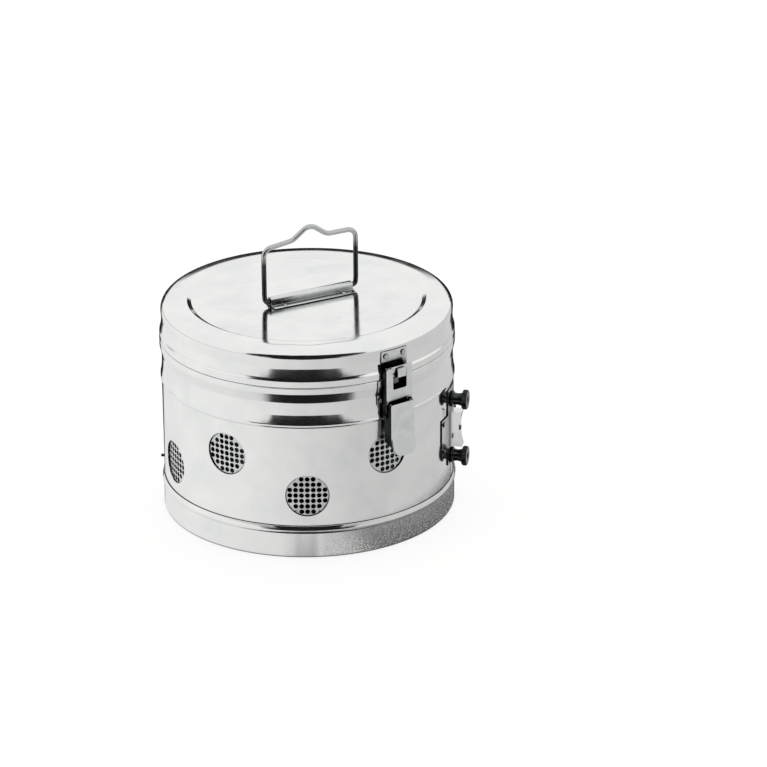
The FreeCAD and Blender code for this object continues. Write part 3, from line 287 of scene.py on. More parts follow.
# Sheet of the bail's strap: buffed on its roll, with painted shade in the fold beside it.
FOLDED_SHEET = MetalFinish("folded_stainless_sheet", "#DFE1DF", "#D0D3D2", 0.1, 0.1, 12.0,
                           Grain.UPRIGHT, 0.5, 0.0012, 7.0, 0.003, crevice=9.0,
                           crevice_open=0.94)
# Soft steel rivets with hammered heads.
RIVET_STEEL = MetalFinish("hammered_rivet_steel", "#CDCFCE", "#A9ACAC", 0.22, 0.14, 3.0,
                          Grain.PLAIN, 0.8, 0.006, 1.8, 0.012)


# Meshes.


def rounded(points: Sequence[tuple], step: float = 9.0) -> Line:
    """Round the corners of a line.

    Args:
        points: corners as (x, y), or (x, y, radius) where the corner is rounded.
        step: largest turn of one facet of a round, in degrees.

    Returns:
        The line's points, with an arc at each rounded corner.
    """
    line: Line = [tuple(points[0][:2])]
    for i in range(1, len(points) - 1):
        here = Vector(points[i][:2])
        if len(points[i]) < 3:
            line.append(tuple(here))
            continue
        back = Vector(points[i - 1][:2]) - here
        ahead = Vector(points[i + 1][:2]) - here
        between = back.angle(ahead)
        turn = math.pi - between
        reach = points[i][2] * math.tan(turn / 2)
        reach = min(reach, back.length * 0.49, ahead.length * 0.49)
        radius = reach / math.tan(turn / 2)
        back.normalize()
        ahead.normalize()
        centre = here + (back + ahead).normalized() * (radius / math.sin(between / 2))
        start = here + back * reach - centre
        sign = 1.0 if back.y * ahead.x - back.x * ahead.y > 0 else -1.0
        count = max(2, math.ceil(math.degrees(turn) / step))
        for j in range(count + 1):
            angle = sign * turn * j / count
            spin = Matrix.Rotation(angle, 2)
            line.append(tuple(centre + spin @ start))
    line.append(tuple(points[-1][:2]))
    return line


def sheet_loop(line: Line, sheet: float) -> Line:
    """Give a line the thickness of its sheet, to the right of its direction.

    Args:
        line: points of the sheet's outer face.
        sheet: thickness.

    Returns:
        A closed loop: the outer face, and the inner face on the way back.
    """
    inner: Line = []
    for i, point in enumerate(line):
        before = Vector(point) - Vector(line[i - 1]) if i else Vector((0, 0))
        after = Vector(line[i + 1]) - Vector(point) if i + 1 < len(line) else Vector((0, 0))
        before = before.normalized() if before.length else after.normalized()
        after = after.normalized() if after.length else before
        way = (before + after).normalized()
        side = Vector((way.y, -way.x))
        spread = max(0.5, side.dot(Vector((after.y, -after.x))))
        inner.append(tuple(Vector(point) + side * (sheet / spread)))
    return line + inner[::-1]


def quads(rows: int, count: int, closed: bool = True) -> list[list[int]]:
    """Join neighbouring rows of vertices with four-sided faces.

    Args:
        rows: how many rows there are.
        count: vertices in each row.
        closed: whether the last vertex of a row joins the first.

    Returns:
        The faces, row by row.
    """
    faces = []
    for low in range(0, (rows - 1) * count, count):
        for i in range(count if closed else count - 1):
            j = (i + 1) % count
            faces.append([low + i, low + j, low + count + j, low + count + i])
    return faces


def new_piece(name: str, corners: np.ndarray, faces: Iterable[Sequence[int]]) -> Piece:
    """Make a mesh piece from corners in millimetres.

    Args:
        name: the piece's name.
        corners: one row of three numbers for each vertex.
        faces: vertex numbers of each face.

    Returns:
        The linked object, at the origin.
    """
    mesh = bpy.data.meshes.new(name)
    mesh.from_pydata((np.asarray(corners, float) * MM).tolist(), [], [list(f) for f in faces])
    mesh.validate()
    piece = bpy.data.objects.new(name, mesh)
    bpy.context.scene.collection.objects.link(piece)
    return piece


def tidy_mesh(piece: Piece, merge: float = 0.0005, outward: bool = True) -> None:
    """Merge doubles and turn the faces outwards.

    Args:
        piece: the mesh object.
        merge: distance under which vertices merge, in millimetres.
        outward: whether the mesh is a closed shell whose faces have to point out.
    """
    work = bmesh.new()
    work.from_mesh(piece.data)
    bmesh.ops.remove_doubles(work, verts=work.verts, dist=merge * MM)
    bmesh.ops.dissolve_degenerate(work, edges=work.edges, dist=merge * MM * 0.1)
    if outward:
        bmesh.ops.recalc_face_normals(work, faces=work.faces)
    work.to_mesh(piece.data)
    work.free()


def smooth(piece: Piece, angle: float = 32.0) -> None:
    """Shade a piece smooth up to an angle between faces, in degrees."""
    mesh = piece.data
    mesh.polygons.foreach_set("use_smooth", [True] * len(mesh.polygons))
    mesh.set_sharp_from_angle(angle=math.radians(angle))
    mesh.update()


def bake(piece: Piece) -> Piece:
    """Turn a piece with its modifiers into a plain mesh.

    Args:
        piece: the object whose modifiers are applied and removed.

    Returns:
        The same object with its new mesh.
    """
    bpy.context.view_layer.update()
    graph = bpy.context.evaluated_depsgraph_get()
    made = bpy.data.meshes.new_from_object(
        piece.evaluated_get(graph), preserve_all_data_layers=True, depsgraph=graph
    )
    old = piece.data
    piece.modifiers.clear()
    piece.data = made
    made.name = piece.name
    bpy.data.meshes.remove(old)
    return piece


def turned(name: str, loop: Line, steps: int = 288, angle: float = 32.0) -> Piece:
    """Turn a closed loop of (radius, height) about the drum's axis.

    Args:
        name: the piece's name.
        loop: the section's corners.
        steps: how many facets go round.
        angle: faces that meet at less than this are shaded as one.

    Returns:
        The closed piece.
    """
    loop = [p for i, p in enumerate(loop) if i == 0 or math.dist(p, loop[i - 1]) > 1e-4]
    around = np.arange(steps) * FULL_TURN / steps
    corners: list[tuple[float, float, float]] = []
    rows: list[list[int]] = []
    for radius, height in loop:
        if radius < 1e-6:
            rows.append([len(corners)] * steps)
            corners.append((0.0, 0.0, height))
            continue
        rows.append(list(range(len(corners), len(corners) + steps)))
        corners.extend((radius * math.cos(a), radius * math.sin(a), height) for a in around)
    faces = []
    for i, row in enumerate(rows):
        other = rows[(i + 1) % len(rows)]
        if row[0] == row[1] and other[0] == other[1]:
            continue
        for j in range(steps):
            k = (j + 1) % steps
            quad = [row[j], row[k], other[k], other[j]]
            faces.append(list(dict.fromkeys(quad)))
    piece = new_piece(name, np.array(corners), faces)
    tidy_mesh(piece)
    smooth(piece, angle)
    return piece


def swept(name: str, path: Sequence[Vector], radius: float, sides: int = 20) -> Piece:
    """Run a round section along a path, with closed ends.

    Args:
        name: the piece's name.
        path: points of the centre line.
        radius: radius of the section.
        sides: facets round the section.

    Returns:
        The closed tube.
    """
    corners: list[Vector] = []
    side = Vector((0, 1, 0))
    for i, point in enumerate(path):
        before = point - path[i - 1] if i else path[1] - point
        after = path[i + 1] - point if i + 1 < len(path) else before
        way = (before.normalized() + after.normalized()).normalized()
        side = (side - way * side.dot(way)).normalized()
        up = way.cross(side)
        for j in range(sides):
            angle = FULL_TURN * j / sides
            corners.append(point + (side * math.cos(angle) + up * math.sin(angle)) * radius)
    faces = [list(range(sides))[::-1]] + quads(len(path), sides)
    faces.append([(len(path) - 1) * sides + j for j in range(sides)])
    piece = new_piece(name, np.array([tuple(c) for c in corners]), faces)
    tidy_mesh(piece)
    smooth(piece, 50.0)
    return piece


def extruded(name: str, loop: Line, low: float, high: float) -> Piece:
    """Extrude a closed loop in the XZ plane along Y, from low to high."""
    count = len(loop)
    corners = [(x, low, z) for x, z in loop] + [(x, high, z) for x, z in loop]
    ends = [list(range(count)), list(range(count, 2 * count))[::-1]]
    piece = new_piece(name, np.array(corners), ends + quads(2, count))
    tidy_mesh(piece)
    return piece


def ring_edges(first: int, count: int) -> list[tuple[int, int]]:
    """Join points that follow each other into a closed outline."""
    return [(first + i, first + (i + 1) % count) for i in range(count)]


def cut_sheet(
    points: Line, edges: list[tuple[int, int]], kept: Callable[[float, float], bool],
    inside: bool = False,
) -> tuple[np.ndarray, list[list[int]]]:
    """Cut a flat sheet into triangles.

    Args:
        points: the outline's points, and those inside it.
        edges: the outline's edges.
        kept: tells from a triangle's middle whether the sheet has it.
        inside: whether triangles outside the outline are left out.

    Returns:
        The sheet's points, and the triangles between them.
    """
    made = delaunay_2d_cdt([Vector(p) for p in points], edges, [], int(inside), 1e-5)
    flat = np.array([tuple(p) for p in made[0]])
    return flat, [list(f) for f in made[2] if kept(*flat[list(f)].mean(axis=0))]


@dataclass(frozen=True)
class Opening:
    """A round opening in an unrolled sheet, or a slot with round ends.

    The centre is (along, up) on the sheet, and length is how far a slot's ends are apart.
    """

    along: float
    up: float
    radius: float
    length: float = 0.0

    def rim(self, steps: int = 64) -> Line:
        """Return the points of the opening's edge."""
        half = self.length / 2
        points = []
        for i in range(steps):
            angle = FULL_TURN * (i + 0.5) / steps
            shift = half if math.cos(angle) > 0 else -half
            points.append((
                self.along + shift + self.radius * math.cos(angle),
                self.up + self.radius * math.sin(angle),
            ))
        return points

    def gap(self, along: float, up: float) -> float:
        """Return how far a point lies outside the opening's edge."""
        half = self.length / 2
        nearest = min(max(along, self.along - half), self.along + half)
        return math.hypot(along - nearest, up - self.up) - self.radius


@dataclass(frozen=True)
class SheetPlan:
    """A rectangle of sheet with openings, unrolled flat before it is bent round the drum."""

    length: float
    low: float
    high: float
    openings: tuple[Opening, ...]
    along_step: float = 3.4
    up_step: float = 9.0
    margin: float = 1.5

    def mesh(self) -> tuple[np.ndarray, list[list[int]]]:
        """Cut the plan into triangles.

        Returns:
            The points (along, up), and the triangles between them.
        """
        columns = max(2, round(self.length / self.along_step))
        rows = max(2, round((self.high - self.low) / self.up_step))
        alongs = [self.length * i / columns for i in range(columns + 1)]
        ups = [self.low + (self.high - self.low) * i / rows for i in range(rows + 1)]
        points = [(a, self.low) for a in alongs]
        points += [(self.length, u) for u in ups[1:]]
        points += [(a, self.high) for a in alongs[-2::-1]]
        points += [(0.0, u) for u in ups[-2:0:-1]]
        edges = ring_edges(0, len(points))
        for opening in self.openings:
            rim = opening.rim()
            edges += ring_edges(len(points), len(rim))
            points += rim
        for a in alongs[1:-1]:
            for u in ups[1:-1]:
                if all(o.gap(a, u) > self.margin for o in self.openings):
                    points.append((a, u))
        return cut_sheet(points, edges, lambda a, u: all(o.gap(a, u) > 0 for o in self.openings))


def bent(flat: np.ndarray, radius: float, start: float) -> np.ndarray:
    """Bend a flat sheet (along, up) round the drum, from a start angle in degrees."""
    angle = math.radians(start) + flat[:, 0] / radius
    return np.stack([radius * np.cos(angle), radius * np.sin(angle), flat[:, 1]], axis=1)


def thicken(piece: Piece, sheet: float, bevel: float = 0.0) -> Piece:
    """Give an open sheet its thickness inwards, and break its edges."""
    wall = piece.modifiers.new("sheet", "SOLIDIFY")
    wall.thickness = sheet * MM
    wall.offset = -1.0
    wall.use_even_offset = True
    if bevel:
        soften(piece, bevel)
    return bake(piece)


def soften(piece: Piece, width: float, steps: int = 2, angle: float = 35.0) -> None:
    """Add a bevel of a width in millimetres to the edges that are sharper than an angle."""
    edge = piece.modifiers.new("edges", "BEVEL")
    edge.width = width * MM
    edge.segments = steps
    edge.limit_method = "ANGLE"
    edge.angle_limit = math.radians(angle)
    edge.harden_normals = False


def move(piece: Piece, matrix: Matrix) -> Piece:
    """Apply a placement in millimetres to the mesh, so that the object stays at the origin."""
    scaled = matrix.copy()
    scaled.translation = matrix.translation * MM
    piece.data.transform(scaled)
    piece.data.update()
    return piece


def about(angle: float) -> Matrix:
    """A turn about the drum's axis, in degrees."""
    return Matrix.Rotation(math.radians(angle), 4, "Z")


def radial(angle: float, height: float, reach: float) -> Matrix:
    """The placement that lays a piece that points up along the drum's radius."""
    lay = Matrix.Rotation(math.pi / 2, 4, "Y")
    return about(angle) @ Matrix.Translation((reach, 0, height)) @ lay


# Node trees for what repeats.


def geometry_tree(name: str, inputs: dict[str, str]) -> Tree:
    """Start a geometry tree with named inputs.

    Args:
        name: the tree's name.
        inputs: input names with their socket types.

    Returns:
        The tree, with its input and output sockets made.
    """
    tree = bpy.data.node_groups.new(name, "GeometryNodeTree")
    tree.interface.new_socket("Geometry", in_out="OUTPUT", socket_type="NodeSocketGeometry")
    tree.interface.new_socket("Geometry", in_out="INPUT", socket_type="NodeSocketGeometry")
    for label, kind in inputs.items():
        tree.interface.new_socket(label, in_out="INPUT", socket_type=kind)
    return tree


def end_tree(tree: Tree, shape: Socket, finish: Socket) -> None:
    """End a tree with Realize Instances and Set Material."""
    real = add_node(tree, "GeometryNodeRealizeInstances", {"Geometry": shape})
    dressed = add_node(tree, "GeometryNodeSetMaterial", {
        "Geometry": real.outputs["Geometry"], "Material": finish,
    })
    add_node(tree, "NodeGroupOutput", {"Geometry": dressed.outputs["Geometry"]})


def run_tree(piece: Piece, tree: Tree, values: dict[str, object]) -> Piece:
    """Run a geometry tree on a piece and keep the result as a plain mesh.

    Args:
        piece: the object that the tree starts from.
        tree: the geometry tree.
        values: its inputs by name.

    Returns:
        The same object with the tree's mesh.
    """
    modifier = piece.modifiers.new(tree.name, "NODES")
    modifier.node_group = tree
    for item in tree.interface.items_tree:
        if item.item_type == "SOCKET" and item.in_out == "INPUT" and item.name in values:
            modifier[item.identifier] = values[item.name]
    return bake(piece)


def rivet_tree() -> Tree:
    """Rivet heads: one domed head on each point, facing along the point's own direction."""
    known = bpy.data.node_groups.get("rivet_heads")
    if known:
        return known
    tree = geometry_tree("rivet_heads", {
        "Head Radius": "NodeSocketFloat", "Head Rise": "NodeSocketFloat",
        "Finish": "NodeSocketMaterial",
    })
    given = add_node(tree, "NodeGroupInput").outputs
    ball = add_node(tree, "GeometryNodeMeshUVSphere", {"Segments": 20, "Rings": 12, "Radius": 1.0})
    scale = add_node(tree, "ShaderNodeCombineXYZ", {
        "X": given["Head Radius"], "Y": given["Head Radius"], "Z": given["Head Rise"],
    })
    dome = add_node(tree, "GeometryNodeTransform", {
        "Geometry": ball.outputs["Mesh"], "Scale": scale.outputs["Vector"],
    })
    facing = add_node(tree, "GeometryNodeInputNamedAttribute", {"Name": "facing"},
                      data_type="FLOAT_VECTOR")
    turn = add_node(tree, "FunctionNodeAlignRotationToVector", {
        "Vector": facing.outputs["Attribute"],
    }, axis="Z")
    heads = add_node(tree, "GeometryNodeInstanceOnPoints", {
        "Points": given["Geometry"], "Instance": dome.outputs["Geometry"],
        "Rotation": turn.outputs["Rotation"],
    })
    end_tree(tree, heads.outputs["Instances"], given["Finish"])
    return tree


def knurl_tree() -> Tree:
    """Knurling: upright ridges in a ring, joined to the piece that they stand on."""
    known = bpy.data.node_groups.get("knurled_rim")
    if known:
        return known
    tree = geometry_tree("knurled_rim", {
        "Ridges": "NodeSocketInt", "Rim Radius": "NodeSocketFloat",
        "Ridge Radius": "NodeSocketFloat", "Ridge Length": "NodeSocketFloat",
        "Ridge Height": "NodeSocketFloat", "Finish": "NodeSocketMaterial",
    })
    given = add_node(tree, "NodeGroupInput").outputs
    ring = add_node(tree, "GeometryNodeMeshCircle", {
        "Vertices": given["Ridges"], "Radius": given["Rim Radius"],
    })
    ridge = add_node(tree, "GeometryNodeMeshCylinder", {
        "Vertices": 6, "Radius": given["Ridge Radius"], "Depth": given["Ridge Length"],
    })
    lift = add_node(tree, "ShaderNodeCombineXYZ", {"Z": given["Ridge Height"]})
    raised = add_node(tree, "GeometryNodeTransform", {
        "Geometry": ridge.outputs["Mesh"], "Translation": lift.outputs["Vector"],
    })
    place = add_node(tree, "GeometryNodeInputPosition")
    turn = add_node(tree, "FunctionNodeAlignRotationToVector", {
        "Vector": place.outputs["Position"],
    }, axis="X")
    ridges = add_node(tree, "GeometryNodeInstanceOnPoints", {
        "Points": ring.outputs["Mesh"], "Instance": raised.outputs["Geometry"],
        "Rotation": turn.outputs["Rotation"],
    })
    whole = add_node(tree, "GeometryNodeJoinGeometry")
    tree.links.new(given["Geometry"], whole.inputs[0])
    tree.links.new(ridges.outputs["Instances"], whole.inputs[0])
    end_tree(tree, whole.outputs["Geometry"], given["Finish"])
    return tree


def punching_tree() -> Tree:
    """Perforated field: a square tile with a round hole on each marked point."""
    tree = geometry_tree("punched_field", {
        "Pitch": "NodeSocketFloat", "Hole Radius": "NodeSocketFloat", "Merge": "NodeSocketFloat",
        "Finish": "NodeSocketMaterial",
    })
    given = add_node(tree, "NodeGroupInput").outputs
    marked = add_node(tree, "GeometryNodeInputNamedAttribute", {"Name": "punch"},
                      data_type="BOOLEAN")
    parts = add_node(tree, "GeometryNodeSeparateGeometry", {
        "Geometry": given["Geometry"], "Selection": marked.outputs["Attribute"],
    }, domain="POINT")
    hole = add_node(tree, "GeometryNodeMeshCircle", {"Vertices": 16,
                                                    "Radius": given["Hole Radius"]})
    grown = add_node(tree, "GeometryNodeExtrudeMesh", {
        "Mesh": hole.outputs["Mesh"], "Offset Scale": 0.0,
    }, mode="EDGES")
    place = add_node(tree, "GeometryNodeInputPosition").outputs["Position"]
    size = add_node(tree, "ShaderNodeVectorMath", {0: place}, operation="ABSOLUTE")
    split = add_node(tree, "ShaderNodeSeparateXYZ", {"Vector": size.outputs["Vector"]})
    widest = add_node(tree, "ShaderNodeMath", {
        0: split.outputs["X"], 1: split.outputs["Y"],
    }, operation="MAXIMUM")
    half = add_node(tree, "ShaderNodeMath", {0: given["Pitch"], 1: 0.5}, operation="MULTIPLY")
    share = add_node(tree, "ShaderNodeMath", {
        0: half.outputs["Value"], 1: widest.outputs["Value"],
    }, operation="DIVIDE")
    square = add_node(tree, "ShaderNodeVectorMath", {
        0: place, "Scale": share.outputs["Value"],
    }, operation="SCALE")
    tile = add_node(tree, "GeometryNodeSetPosition", {
        "Geometry": grown.outputs["Mesh"], "Selection": grown.outputs["Top"],
        "Position": square.outputs["Vector"],
    })
    tiles = add_node(tree, "GeometryNodeInstanceOnPoints", {
        "Points": parts.outputs["Selection"], "Instance": tile.outputs["Geometry"],
    })
    real = add_node(tree, "GeometryNodeRealizeInstances", {"Geometry": tiles.outputs["Instances"]})
    whole = add_node(tree, "GeometryNodeJoinGeometry")
    tree.links.new(parts.outputs["Inverted"], whole.inputs[0])
    tree.links.new(real.outputs["Geometry"], whole.inputs[0])
    merged = add_node(tree, "GeometryNodeMergeByDistance", {
        "Geometry": whole.outputs["Geometry"], "Distance": given["Merge"],
    })
    end_tree(tree, merged.outputs["Geometry"], given["Finish"])
    return tree


# Sub-assemblies.


@dataclass
class SubAssembly:
    """A group of pieces that are built and dressed together."""

    def dress(
        self, piece: Piece, finish: MetalFinish, body: str, slot: str,
        nodes: Sequence[str] = (),
    ) -> None:
        """Give a piece its finish and body, and hide the solids that it stands for.

        Args:
            piece: the finished mesh object.
            finish: its surface.
            body: the body that it rides on.
            slot: not used.
            nodes: the solids that it replaces.
        """
        piece.data.materials.clear()
        piece.data.materials.append(finish.material())
        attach(piece, body)
        if nodes:
            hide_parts(*nodes)
        LOG.info("%s: %d faces on %s", piece.name, len(piece.data.polygons), body)

    def shade_sides(self, piece: Piece) -> None:
        """Give the faces that look along X, which are a latch sheet's folded sides, a nearly black
        painted shade.
        """
        piece.data.materials.append(SHADED_SIDE.material())
        for face in piece.data.polygons:
            if abs(face.normal.x) > 0.85:
                face.material_index = 1

    def dress_solids(self, finish: MetalFinish, slot: str, *nodes: str) -> None:
        """Give solids of the frame that stay shown their finish in their material slots."""
        for node in nodes:
            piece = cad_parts[node]
            if not piece.material_slots:
                piece.data.materials.append(finish.material())
            for place in piece.material_slots:
                place.material = finish.material()
            LOG.info("%s: solid with %s", node, finish.name)

    def rivets(
        self, name: str, body: str, places: Sequence[Matrix], nodes: Sequence[str],
        head: float = 2.4, rise: float = 1.3,
    ) -> Piece:
        """Make a set of domed rivet heads.

        Args:
            name: the piece's name.
            body: the body that it rides on.
            places: the placement of each head, which points along its own Z.
            nodes: the solids that the set replaces.
            head: radius of a head.
            rise: height of a head.

        Returns:
            The set as one mesh.
        """
        points = np.array([tuple(m.translation) for m in places])
        piece = new_piece(name, points, [])
        facing = piece.data.attributes.new("facing", "FLOAT_VECTOR", "POINT")
        ways = [tuple(m.to_3x3() @ Vector((0, 0, 1))) for m in places]
        facing.data.foreach_set("vector", np.array(ways).ravel())
        run_tree(piece, rivet_tree(), {
            "Head Radius": head * MM, "Head Rise": rise * MM, "Finish": RIVET_STEEL.material(),
        })
        smooth(piece, 60.0)
        self.dress(piece, RIVET_STEEL, body, "rivet_steel", nodes)
        return piece


@dataclass
class DrumBody(SubAssembly):
    """Foot ring, shell with its vent screens, floor pan and collar."""

    radius: float = 145.0
    band_low: float = 30.7
    band_high: float = 138.7
    shell_out: float = 143.65
    shell_sheet: float = 0.8
    shell_low: float = 1.0
    shell_high: float = 157.0
    window_places: int = 11
    window_first: float = -93.1
    window_low: float = 65.0
    window_high: float = 100.5
    screen_radius: float = 20.9
    opening_radius: float = 21.0
    punch_pitch: float = 5.7
    punch_radius: float = 2.45
    punch_rows: tuple[int, ...] = (3, 5, 7, 7, 7, 5, 3)
    foot_outside: Profile = (
        (145.3, 33.2), (146.1, 33.2, 0.3), (147.1, 28.8, 1.4), (146.95, 26.8, 0.8),
        (145.9, 25.4, 0.7), (145.9, 0.0, 1.0), (139.4, 0.0),
    )
    foot_inside: Profile = ((139.4, 1.0), (143.65, 1.0), (143.65, 30.4), (145.3, 30.4))
    collar_outside: Profile = (
        (142.6, 189.0), (142.6, 178.0, 0.6), (146.35, 178.0, 1.0), (146.35, 171.4, 3.0),
        (144.2, 161.8, 5.0), (144.55, 149.2, 6.0), (145.75, 139.9, 1.2), (146.1, 139.2, 0.4),
        (146.1, 137.5, 0.4), (145.75, 136.4),
    )
    collar_sheet: float = 0.8

    def windows(self) -> list[tuple[float, float]]:
        """Return the angle and height of each window."""
        pitch = 360 / self.window_places
        return [
            (self.window_first - i * pitch, self.window_low if i % 2 else self.window_high)
            for i in range(self.window_places - 1)
        ]

    def build(self) -> None:
        """Build and dress every piece of the drum's body."""
        self._foot_ring()
        self._collar()
        self._shell()
        self._screens()
        self.dress_solids(SATIN_SHEET, "satin_sheet", "floor_pan")

    def _foot_ring(self) -> None:
        piece = turned("foot_band", rounded(self.foot_outside) + list(self.foot_inside))
        self.dress(piece, MIRROR_SHEET, "drum", "mirror_sheet", ["foot_ring"])

    def _collar(self) -> None:
        loop = sheet_loop(rounded(self.collar_outside), self.collar_sheet)
        piece = turned("collar_ring", loop)
        self.dress(piece, MIRROR_SHEET, "drum", "mirror_sheet", ["collar"])

    def _shell(self) -> None:
        length = FULL_TURN * self.shell_out
        start = self.window_first + 180 / self.window_places
        places = [
            (math.radians((angle - start) % 360) * self.shell_out, height)
            for angle, height in self.windows()
        ]
        openings = tuple(Opening(a, h, self.opening_radius) for a, h in places)
        flat, faces = SheetPlan(length, self.shell_low, self.shell_high, openings).mesh()
        piece = new_piece("shell_sheet", bent(flat, self.shell_out, start), faces)
        tidy_mesh(piece, merge=0.01, outward=False)
        thicken(piece, self.shell_sheet)
        smooth(piece)
        self.dress(piece, SATIN_SHEET, "drum", "satin_sheet", ["shell_wall"])

    def _screens(self) -> None:
        flat, faces = self._punched_disc()
        corners: list[np.ndarray] = []
        joined: list[list[int]] = []
        reach = self.shell_out - 0.05
        for angle, height in self.windows():
            first = sum(len(c) for c in corners)
            placed = flat + np.array([0.0, height])
            corners.append(bent(placed, reach, angle))
            joined += [[first + v for v in face] for face in faces]
        piece = new_piece("vent_discs", np.concatenate(corners), joined)
        tidy_mesh(piece, outward=False)
        thicken(piece, self.shell_sheet)
        smooth(piece)
        self.dress(piece, PUNCHED_SHEET, "drum", "punched_sheet", ["vent_screens"])

    def _tiles(self) -> list[tuple[float, float]]:
        """Return the centres of one disc's punchings."""
        return [
            ((i - (count - 1) / 2) * self.punch_pitch,
             (j - (len(self.punch_rows) - 1) / 2) * self.punch_pitch)
            for j, count in enumerate(self.punch_rows) for i in range(count)
        ]

    def _tile_edges(self, x: float, y: float) -> list[tuple]:
        """Return the sides of one punching's square tile, each in four lengths."""
        half = self.punch_pitch / 2
        part = math.tan(math.pi / 8) * half
        stops = (-half, -part, 0.0, part, half)
        edges = []
        for a, b in zip(stops, stops[1:]):
            for side in (-half, half):
                edges.append(((x + a, y + side), (x + b, y + side)))
            for side in (-half, half):
                edges.append(((x + side, y + a), (x + side, y + b)))
        return [tuple(tuple(round(v, 4) for v in p) for p in edge) for edge in edges]

    def _punched_disc(self) -> tuple[np.ndarray, list[list[int]]]:
        """Build one flat disc: its plain rim, and the perforated field from the node tree.

        Returns:
            The points (along, up), and the faces between them.
        """
        half = self.punch_pitch / 2
        tiles = self._tiles()
        sides = Counter(edge for tile in tiles for edge in self._tile_edges(*tile))
        outline = [edge for edge, used in sides.items() if used == 1]
        points = list(dict.fromkeys(p for edge in outline for p in edge))
        edges = [(points.index(a), points.index(b)) for a, b in outline]
        rim = 72
        edges += ring_edges(len(points), rim)
        points += [
            (self.screen_radius * math.cos(FULL_TURN * i / rim),
             self.screen_radius * math.sin(FULL_TURN * i / rim)) for i in range(rim)
        ]
        flat, border = cut_sheet(points, edges, lambda x, y: not any(
            abs(x - a) < half and abs(y - b) < half for a, b in tiles
        ))
        corners = np.array([(x, y, 0.0) for x, y in flat] + [(x, y, 0.0) for x, y in tiles])
        disc = new_piece("punched_disc", corners, border)
        mark = disc.data.attributes.new("punch", "BOOLEAN", "POINT")
        mark.data.foreach_set("value", [False] * len(flat) + [True] * len(tiles))
        run_tree(disc, punching_tree(), {
            "Pitch": self.punch_pitch * MM, "Hole Radius": self.punch_radius * MM,
            "Merge": 0.02 * MM, "Finish": PUNCHED_SHEET.material(),
        })
        mesh = disc.data
        shape = np.array([tuple(v.co) for v in mesh.vertices])[:, :2] / MM
        faces = [
            list(f.vertices) if f.normal.z > 0 else list(f.vertices)[::-1] for f in mesh.polygons
        ]
        bpy.data.objects.remove(disc)
        return shape, faces


@dataclass
class VentBand(SubAssembly):
    """The turning band with its windows, and the pin that stops it."""

    drum: DrumBody
    radius: float = 145.0
    sheet: float = 1.0
    window_radius: float = 21.5
    split_angle: float = -49.3
    split: float = 2.0
    stop_angle: float = 141.7
    stop_height: float = 43.0
    stop_radius: float = 1.5
    stop_reach: float = 4.0
    slot_gap: float = 0.5
    turn: float = 17.0

    def build(self) -> None:
        """Build and dress the band and its stop pin."""
        opening = math.degrees(self.split / self.radius)
        start = self.split_angle + opening / 2
        length = FULL_TURN * self.radius - self.split
        windows = [
            Opening(math.radians((angle - start) % 360) * self.radius, height, self.window_radius)
            for angle, height in self.drum.windows()
        ]
        middle = self.stop_angle - self.turn / 2
        slot = Opening(
            math.radians((middle - start) % 360) * self.radius, self.stop_height,
            self.stop_radius + self.slot_gap, math.radians(self.turn) * self.radius,
        )
        plan = SheetPlan(length, self.drum.band_low, self.drum.band_high, (*windows, slot))
        flat, faces = plan.mesh()
        band = new_piece("vent_band", bent(flat, self.radius, start), faces)
        tidy_mesh(band, merge=0.01, outward=False)
        thicken(band, self.sheet)
        smooth(band)
        self.dress(band, MIRROR_SHEET, "band", "mirror_sheet", ["shutter_band"])
        reach = self.radius - self.drum.shell_out + self.stop_reach
        pin = turned("stop_pin", rounded([
            (0.0, 0.0), (self.stop_radius, 0.0), (self.stop_radius, reach, 0.7), (0.0, reach),
        ]), 24)
        move(pin, radial(self.stop_angle, self.stop_height, self.drum.shell_out))
        self.dress(pin, SHADE_DARKENED_STEEL, "drum", "turned_steel", ["band_stop_pin"])


